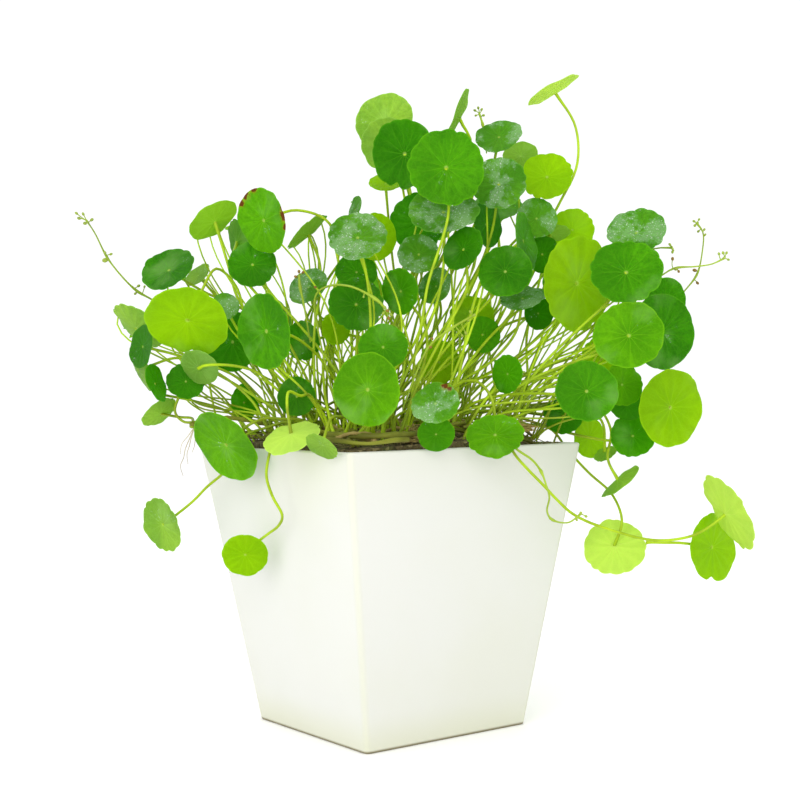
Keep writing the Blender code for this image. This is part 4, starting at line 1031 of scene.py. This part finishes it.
# young stalks between the older ones, each from the soil to a small leaf behind an older leaf
def growYoungStalks():
    look = youngLook
    draw = random.Random(23)
    low, high = look["hostHeights"]
    inside = soilHalf - look["inRim"]
    hosts = [blade for blade in blades if low < blade.centre[2] < high]
    found = []
    for _ in range(look["tries"]):
        host = draw.choice(hosts)
        size = draw.uniform(*look["leaf"])
        sight = unit(host.centre - eye)
        across = unit(np.cross(upWay, sight))
        shade = host.point(look["aside"] * math.sqrt(draw.random()), draw.uniform(0, 2 * math.pi))
        tip = shade + sight * draw.uniform(*look["behind"])
        x, y = (at * look["pull"] + draw.gauss(0, look["spread"]) for at in tip[:2])
        x, y = max(-inside, min(inside, x)), max(-inside, min(inside, y))
        foot = np.array([x, y, soilHeight(x, y) - look["sunk"]])
        outward = tip * flatWays
        outward = outward / max(np.linalg.norm(outward), 0.02)
        bow = (across * draw.uniform(-1, 1) + sight * draw.uniform(-1, 1)) * look["bow"]
        way = unit(upWay + outward * draw.uniform(-0.2, 1.0) + across * draw.uniform(-0.5, 0.5))
        path = resample(arch(foot, unit(upWay + outward * outwardLean), tip, way, bow), look["steps"])
        side = unit(np.cross(way, across))
        other = np.cross(way, side)
        ring = [tip + (side * math.cos(turn) + other * math.sin(turn)) * size + way * size * look["cup"]
                for turn in np.linspace(0, 2 * math.pi, 9)[:-1]]
        reached = np.vstack([path, ring])
        if potGap(reached[2:]).min() < potClear:
            continue
        if any(blade.gap(reached).min() < look["toBlade"] for blade in blades):
            continue
        if segmentGap(reached[1:], grown.starts, grown.ends) < look["toStalk"]:
            continue
        grown.add(path)
        found.append((path, tip, way, side, other, size))
        if len(found) == look["count"]:
            break
    return found


def addYoungStalks():
    look = youngLook
    thin, thick = look["stalk"]
    draw = random.Random(5)
    mesh, share, angle, side = discPattern((0.0, 0.3, 0.65, 0.92), 18)
    bm = bmesh.new()
    bm.loops.layers.uv.new("UVMap")
    tubes = []
    for path, tip, way, first, second, size in growYoungStalks():
        reach = size * share * (1.0 + 0.06 * np.cos(7 * angle))
        rise = size * look["cup"] * share ** 2 + side * look["thickness"] / 2
        places = (tip + np.outer(reach * np.cos(angle), first) + np.outer(reach * np.sin(angle), second)
                  + np.outer(rise, way))
        addDisc(bm, mesh, places, draw.choice((1, 3)))
        tubes.append((path, list(np.linspace(draw.uniform(thin, thick), thin, len(path)))))
    bmesh.ops.recalc_face_normals(bm, faces=bm.faces)
    addTubes(bm, tubes, 0, 1)
    skins = [stemSkins["young_stalk"], *leafSkins["lime"], *leafSkins["bright"]]
    addPiece("young_stalks", bm, skins, ())
    print("young stalks:", len(tubes))


print("young stalks")
addYoungStalks()

potShape = {"corner": 0.003, "cornerSteps": 6, "rimRound": 0.0016, "footRound": 0.0008, "roundSteps": 5}


# draws a copy of the face to a share of its size at the given height
def growRing(bm, face, share, height):
    made = bmesh.ops.extrude_face_region(bm, geom=[face])["geom"]
    bmesh.ops.delete(bm, geom=[face], context="FACES_ONLY")
    for item in made:
        if isinstance(item, bmesh.types.BMVert):
            item.co = Vector((item.co.x * share, item.co.y * share, height))
    return next(item for item in made if isinstance(item, bmesh.types.BMFace))


def roundEdges(bm, edges, size, steps):
    bmesh.ops.bevel(bm, geom=edges, offset=size, segments=steps, profile=0.5, affect="EDGES", material=-1)


def buildPot():
    bm = bmesh.new()
    for vert in bmesh.ops.create_cube(bm, size=1.0)["verts"]:
        size, height = (potTop, potHeight) if vert.co.z > 0 else (potBase, 0.0)
        vert.co = Vector((vert.co.x * size, vert.co.y * size, height))
    upright = [edge for edge in bm.edges if abs(edge.verts[0].co.z - edge.verts[1].co.z) > 0.001]
    roundEdges(bm, upright, potShape["corner"], potShape["cornerSteps"])
    top = max(bm.faces, key=lambda face: face.calc_center_median().z)
    rim = list(top.edges)
    insideTop = potTop / 2 - potWall
    mouth = growRing(bm, top, insideTop / (potTop / 2), potHeight)
    rim += list(mouth.edges)
    growRing(bm, mouth, (potHalf(potFloor) - potWall) / insideTop, potFloor)
    roundEdges(bm, rim, potShape["rimRound"], potShape["roundSteps"])
    foot = [edge for edge in bm.edges if all(abs(vert.co.z) < 1e-6 for vert in edge.verts)]
    roundEdges(bm, foot, potShape["footRound"], potShape["roundSteps"])
    bmesh.ops.recalc_face_normals(bm, faces=bm.faces)
    addPiece("pot_body", bm, [potSkin], ("pot",), 25.0)


# the soil has sunk by "sunk" in the right-hand corner, from "sunkFrom" off the middle
soilShape = {
    "steps": 96, "coarse": 0.0016, "fine": 0.0009, "corner": 0.0035, "sunk": 0.0045, "sunkFrom": 0.052,
    "slope": 0.012, "drop": 0.0004,
}


def soilBump(x, y):
    look = soilShape
    coarse = look["coarse"] * noise.noise(Vector((x * 45, y * 45, 3.1)))
    fine = look["fine"] * noise.noise(Vector((x * 210, y * 210, 7.7)))
    fade = min(1.0, max(0.15, (soilHalf - max(abs(x), abs(y))) / look["slope"]))
    toCorner = min(1.0, max(0.0, ((x - y) / 2 - look["sunkFrom"]) / look["slope"]))
    return (coarse + fine) * fade - look["sunk"] * toCorner


def buildSoil():
    look = soilShape
    bm = bmesh.new()
    bmesh.ops.create_grid(bm, x_segments=look["steps"], y_segments=look["steps"], size=soilHalf)
    inner = soilHalf - look["corner"]
    for vert in bm.verts:
        x, y = vert.co.x, vert.co.y
        if abs(x) > inner and abs(y) > inner:
            over = Vector((abs(x) - inner, abs(y) - inner))
            if over.length > look["corner"]:
                over *= look["corner"] / over.length
            x, y = math.copysign(inner + over.x, x), math.copysign(inner + over.y, y)
        vert.co = Vector((x, y, soilHeight(x, y) - look["drop"] + soilBump(x, y)))
    border = [edge for edge in bm.edges if edge.is_boundary]
    skirt = bmesh.ops.extrude_edge_only(bm, edges=border)["geom"]
    shrink = (potHalf(potFloor) - potWall - 2 * seam) / soilHalf
    for item in skirt:
        if isinstance(item, bmesh.types.BMVert):
            item.co = Vector((item.co.x * shrink, item.co.y * shrink, potFloor + seam))
    bmesh.ops.holes_fill(bm, edges=[edge for edge in bm.edges if edge.is_boundary])
    bmesh.ops.recalc_face_normals(bm, faces=bm.faces)
    addPiece("soil_surface", bm, [earthSkins["potting_soil"]], ("soil",), 60.0)


# fibres and crumbs that lie on the soil
matLook = {"fibres": 620, "crumbs": 200, "length": (0.010, 0.034), "radius": (0.00018, 0.00045), "bend": 2.2,
           "steps": 7, "hump": 0.0035, "inRim": 0.002, "crumb": (0.0006, 0.0019), "crumbInRim": 0.003}
# old runners that creep over the soil in a tangle, and tufts of roots (right, up, ahead, size, all in mm)
creeperLook = {
    "count": 58, "length": (0.018, 0.062), "radius": (0.0006, 0.0014), "lift": 0.0062, "bend": 1.5,
    "steps": 12, "hump": 0.003, "inRim": 0.0035, "knot": 0.30,
    "tufts": ((18, 166.5, 86, 9), (86, 172.5, 48, 8), (22, 171, 78, 7), (-60, 172, 60, 7)),
    "strands": 46, "strand": (0.00014, 0.00030), "tuftInRim": 0.004,
}
frontCreeper = ((-40, 168, 92), (-28, 166.6, 98), (-20, 165.2, 103), (-12, 164.6, 105), (-5, 165, 104),
                (5, 166.4, 98), (13, 166.6, 92))


# a wandering path over the soil that stays inside the pot
def creep(draw, length, bend, steps, near, lift, hump):
    x, y = draw.uniform(-near, near), draw.uniform(-near, near)
    way = draw.uniform(0, 2 * math.pi)
    path = []
    for k in range(steps):
        px, py = max(-near, min(near, x)), max(-near, min(near, y))
        rise = lift + hump * math.sin(math.pi * k / (steps - 1))
        path.append(np.array([px, py, soilHeight(px, py) + soilBump(px, py) + rise]))
        way += bend / steps + draw.uniform(-0.35, 0.35)
        x += math.cos(way) * length / steps
        y += math.sin(way) * length / steps
    return path


# the thin strands of a tuft, each a walk from near its middle that keeps over the soil
def rootStrand(draw, middle, size):
    inside = soilHalf - creeperLook["tuftInRim"]
    strand = [middle + np.array([draw.gauss(0, 0.25), draw.gauss(0, 0.25), draw.gauss(0, 0.12)]) * size]
    for _ in range(4):
        step = np.array([draw.gauss(0, 1), draw.gauss(0, 1), draw.gauss(-0.15, 0.6)]) * size * 0.28
        spot = strand[-1] + step
        spot[:2] = np.clip(spot[:2], -inside, inside)
        spot[2] = max(spot[2], soilHeight(*spot[:2]) + 0.0008)
        strand.append(spot)
    return smoothPath(strand, 12), [draw.uniform(*creeperLook["strand"])] * 12


def buildCreepers():
    look = creeperLook
    bm = bmesh.new()
    draw = random.Random(41)
    stems, straws = [], []
    for k in range(look["count"]):
        radius = draw.uniform(*look["radius"])
        length, bend = draw.uniform(*look["length"]), draw.uniform(-look["bend"], look["bend"])
        lift, hump = radius * 0.5 + draw.uniform(0, look["lift"]), draw.uniform(0, look["hump"])
        path = creep(draw, length, bend, look["steps"], soilHalf - look["inRim"], lift, hump)
        path = smoothPath(path, 36)
        run = np.linspace(0, draw.uniform(2, 5), len(path))
        radii = radius * (1.0 + look["knot"] * np.exp(-((run % 1 - 0.5) / 0.12) ** 2))
        (straws if k % 4 == 0 else stems).append((path, radii))
    path = smoothPath([place(*point) for point in frontCreeper], 40)
    stems.append((path, 0.0013 + 0.0003 * np.sin(np.linspace(0, 9, len(path)))))
    for right, up, ahead, size in look["tufts"]:
        middle = place(right, up, ahead)
        straws += [rootStrand(draw, middle, size * mm) for _ in range(look["strands"])]
    addTubes(bm, stems, 0, 1)
    addTubes(bm, straws, 1, 1)
    addPiece("creeping_runners", bm, [stemSkins["runner_stem"], stemSkins["straw_root"]], ())


# gives the faces at these points their place in the piece's list of skins
def paint(verts, material):
    for vert in verts:
        for face in vert.link_faces:
            face.material_index = material


def buildRootMat():
    look = matLook
    bm = bmesh.new()
    draw = random.Random(7)
    tubes = []
    for _ in range(look["fibres"]):
        thick = draw.uniform(*look["radius"])
        length, bend = draw.uniform(*look["length"]), draw.uniform(-look["bend"], look["bend"])
        hump = draw.uniform(0.0, look["hump"])
        path = creep(draw, length, bend, look["steps"], soilHalf - look["inRim"], 0.0002 + thick, hump)
        tubes.append((path, np.linspace(thick, thick / 2, look["steps"])))
    addTubes(bm, tubes, 0, 0)
    near = soilHalf - look["crumbInRim"]
    for _ in range(look["crumbs"]):
        x, y = draw.uniform(-near, near), draw.uniform(-near, near)
        size = draw.uniform(*look["crumb"])
        made = bmesh.ops.create_icosphere(bm, subdivisions=1, radius=size)["verts"]
        angle = draw.uniform(0, 6.28)
        axis = Vector((draw.random(), draw.random(), draw.random())).normalized()
        squash = (draw.uniform(0.7, 1.3), draw.uniform(0.7, 1.3), draw.uniform(0.5, 0.9))
        bmesh.ops.scale(bm, vec=squash, verts=made)
        bmesh.ops.rotate(bm, cent=(0, 0, 0), matrix=Matrix.Rotation(angle, 3, axis), verts=made)
        bmesh.ops.translate(bm, vec=(x, y, soilHeight(x, y) + soilBump(x, y) + size * 0.2), verts=made)
        paint(made, 1)
    addPiece("root_mat", bm, [earthSkins["root_mat"], earthSkins["potting_soil"]], (), 60.0)


print("pot and soil")
buildPot()
buildSoil()
buildRootMat()
buildCreepers()

runnerLook = {"share": 0.92, "knot": 0.28, "knots": 4, "knotReach": 0.12}
for name, (points, startRadius, endRadius) in runnerTable.items():
    bm = bmesh.new()
    path = smoothPath([place(*point) for point in points], 49)
    run = np.linspace(0, 1, len(path))
    swell = np.exp(-(((run * runnerLook["knots"]) % 1 - 0.5) / runnerLook["knotReach"]) ** 2)
    radii = (startRadius + (endRadius - startRadius) * run) * mm * runnerLook["share"]
    addTubes(bm, [(path, radii * (1.0 + runnerLook["knot"] * swell))], 0, 3)
    addPiece(name + "_grown", bm, [stemSkins["runner_stem"]], (name,))

budLook = {"radius": 0.00115, "stemRadius": 0.00030, "stalkRadius": 0.00056, "squash": (0.85, 0.85, 1.15)}


def addBud(bm, spot, way, size, material):
    made = bmesh.ops.create_uvsphere(bm, u_segments=8, v_segments=6, radius=size)["verts"]
    bmesh.ops.scale(bm, vec=budLook["squash"], verts=made)
    turn = Vector((0, 0, 1)).rotation_difference(Vector(way)).to_matrix()
    bmesh.ops.rotate(bm, cent=(0, 0, 0), matrix=turn, verts=made)
    bmesh.ops.translate(bm, vec=Vector(spot), verts=made)
    paint(made, material)


# a flower stalk with its knots, and a short stem to each bud
def addFlowerStalk(bm, corners, knots, buds, seed):
    path = smoothPath(corners, len(corners) * 7)
    run = np.linspace(0, 1, len(path))
    radii = budLook["stalkRadius"] * (0.8 + 0.5 * run)
    for knot in knots:
        near = np.argmin(np.linalg.norm(path - corners[knot], axis=1))
        radii = radii * (1.0 + 0.7 * np.exp(-((run - run[near]) * len(path) / 1.6) ** 2))
    tubes = [(path, radii)]
    read = np.array([readPlace(spot) for spot in path])
    draw = random.Random(seed)
    heads = []
    for right, up, size, *withered in buds:
        nearest = int(np.argmin(np.hypot(read[:, 0] - right, read[:, 1] - up)))
        root = path[nearest]
        spot = place(right, up, read[nearest, 2] + draw.uniform(-2.5, 2.5))
        way = unit(spot - root + upWay * 1e-5)
        middle = (root + spot) / 2 + np.array([draw.uniform(-1, 1) for _ in range(3)]) * 0.0004
        tubes.append((smoothPath([root, middle, spot], 6), [budLook["stemRadius"]] * 6))
        heads.append((spot, way, budLook["radius"] * size, 2 if withered else 1))
    addTubes(bm, tubes, 0, 1)
    for head in heads:
        addBud(bm, *head)


print("flower stalks and roots")
flowerSkins = [stemSkins["flower_stalk"], stemSkins["flower_bud"], stemSkins["withered_bud"]]
for name, (_, knots, buds) in flowerStalkTable.items():
    fullName = "flower_stalk_" + name
    bm = bmesh.new()
    addFlowerStalk(bm, flowers[name], knots, buds, len(fullName) * 31 + len(buds))
    addPiece(fullName + "_grown", bm, flowerSkins, (fullName,))

# short flower stalks inside the thicket: their places from the foot up, then their buds
innerFlowerTable = (
    (((-30, 190, 40), (-38, 225, 50), (-41, 250, 56), (-33, 258, 60), (-19, 257.5, 62), (-5, 250, 64),
      (1, 244, 66)),
     ((2, 243, 0.9, "withered"), (-0.5, 241.5, 0.8), (4, 240.5, 0.9), (2.5, 238.5, 0.8, "withered"),
      (0.5, 245, 0.8), (-40.5, 257.5, 0.8, "withered"), (-12, 251.5, 0.6))),
    (((10, 185, 50), (18, 205, 56), (26, 221, 62), (38, 231, 66), (52, 239, 68)),
     ((53, 239.5, 0.9), (51, 241.5, 0.8), (49.5, 236.5, 0.8), (48, 229, 0.9), (46, 227.5, 0.8),
      (28, 226, 0.8, "withered"), (27, 221, 0.8, "withered"))),
    (((-44, 225, 38), (-47, 245, 42), (-49.5, 258, 44), (-50, 265, 44)),
     ((-50, 267, 0.9, "withered"), (-47.5, 266.5, 0.8, "withered"), (-52, 264, 0.8, "withered"))),
    (((62, 335, -2), (61.5, 344, -2), (60, 352, -2), (58, 359, -2)),
     ((57.5, 362, 0.8), (55.5, 360.5, 0.8), (59.5, 361, 0.8), (60.5, 357.5, 0.8), (56, 357.5, 0.7))),
)
bm = bmesh.new()
for number, (points, buds) in enumerate(innerFlowerTable):
    addFlowerStalk(bm, layFlowerStalk(points, grown), (len(points) - 2,), buds, 900 + number)
addPiece("inner_flower_stalks", bm, flowerSkins, ())

# fine white roots that hang from the knot of the left runner
hairTable = (((-116, 170, 26), (-119, 163, 26), (-120, 158, 27), (-122, 153, 26), (-120.5, 147, 26)),
             ((-115, 171, 27), (-116.5, 165, 28), (-118, 160, 28), (-117.5, 154, 29)),
             ((-117, 171, 25), (-121, 166, 24), (-122, 160, 24)),
             ((-113, 170, 26), (-113.5, 165, 26), (-115, 161, 26)))
hairLook = {"steps": 22, "root": 0.00034, "tip": 0.00012, "start": (-113, 176.5, 25), "knot": 0.0023,
            "squash": (1.25, 1.0, 0.85)}
bm = bmesh.new()
hairRadii = np.linspace(hairLook["root"], hairLook["tip"], hairLook["steps"])
hairs = []
for strand in hairTable:
    corners = [place(*point) for point in (hairLook["start"], *strand)]
    hairs.append((smoothPath(corners, hairLook["steps"]), hairRadii))
addTubes(bm, hairs, 0, 1)
made = bmesh.ops.create_icosphere(bm, subdivisions=3, radius=hairLook["knot"])["verts"]
bmesh.ops.scale(bm, vec=hairLook["squash"], verts=made)
bmesh.ops.translate(bm, vec=Vector(place(*leftKnot)), verts=made)
paint(made, 1)
addPiece("hair_roots", bm, [stemSkins["hair_root"], stemSkins["runner_stem"]], ())

stageLook = {"floor": 4.0, "floorColour": (0.98, 0.98, 0.975), "worldStrength": 1.07}
# size, power, place and what each light is turned to
lightTable = {
    "key": (2.2, 28.5, (-1.5, -1.25, 0.6), (0, 0, 0.18)),
    "back": (2.0, 7.0, (0.9, 1.3, 1.4), (0, 0, 0.25)),
}
cameraLook = {"turn": -36.0, "lift": 0.292, "roll": 0.906, "distance": 0.8478, "lens": 1433 / 800 * 36,
              "sideways": 0.00853, "upwards": 0.19008}


def addFloor():
    bm = bmesh.new()
    bmesh.ops.create_grid(bm, x_segments=1, y_segments=1, size=stageLook["floor"])
    mesh = bpy.data.meshes.new("floor")
    bm.to_mesh(mesh)
    bm.free()
    mesh.materials.append(newMaterial("floor_white"))
    matt = {"Base Color": rgba(stageLook["floorColour"]), "Roughness": 0.9, "Specular IOR Level": 0.1}
    node("OutputMaterial", {0: node("BsdfPrincipled", matt)})
    floor = bpy.data.objects.new("floor", mesh)
    bpy.context.scene.collection.objects.link(floor)


def addLight(name, size, power, spot, target):
    lamp = bpy.data.lights.new(name, "AREA")
    lamp.shape = "SQUARE"
    lamp.size = size
    lamp.energy = power
    made = bpy.data.objects.new(name, lamp)
    made.location = spot
    made.rotation_euler = (Vector(target) - Vector(spot)).to_track_quat("-Z", "Y").to_euler()
    bpy.context.scene.collection.objects.link(made)


def addCamera():
    look = cameraLook
    turn, lift, roll = (math.radians(look[key]) for key in ("turn", "lift", "roll"))
    back = Vector((math.sin(turn) * math.cos(lift), -math.cos(turn) * math.cos(lift), math.sin(lift)))
    across = Vector((math.cos(turn), math.sin(turn), 0.0))
    above = back.cross(across)
    rolledAcross = across * math.cos(roll) - above * math.sin(roll)
    rolledAbove = across * math.sin(roll) + above * math.cos(roll)
    view = Matrix((rolledAcross, rolledAbove, back)).transposed().to_4x4()
    view.translation = across * look["sideways"] + Vector((0, 0, look["upwards"])) + back * look["distance"]
    lens = bpy.data.cameras.new("camera")
    lens.lens = look["lens"]
    lens.sensor_width = 36.0
    lens.clip_start = 0.01
    made = bpy.data.objects.new("camera", lens)
    made.matrix_world = view
    bpy.context.scene.collection.objects.link(made)
    bpy.context.scene.camera = made


print("floor, light and camera")
addFloor()
sky = bpy.data.worlds.new("studio")
sky.use_nodes = True
sky.node_tree.nodes["Background"].inputs["Color"].default_value = (1.0, 1.0, 1.0, 1.0)
sky.node_tree.nodes["Background"].inputs["Strength"].default_value = stageLook["worldStrength"]
bpy.context.scene.world = sky
bpy.context.scene.view_settings.view_transform = "Standard"
for name, row in lightTable.items():
    addLight(name, *row)
addCamera()
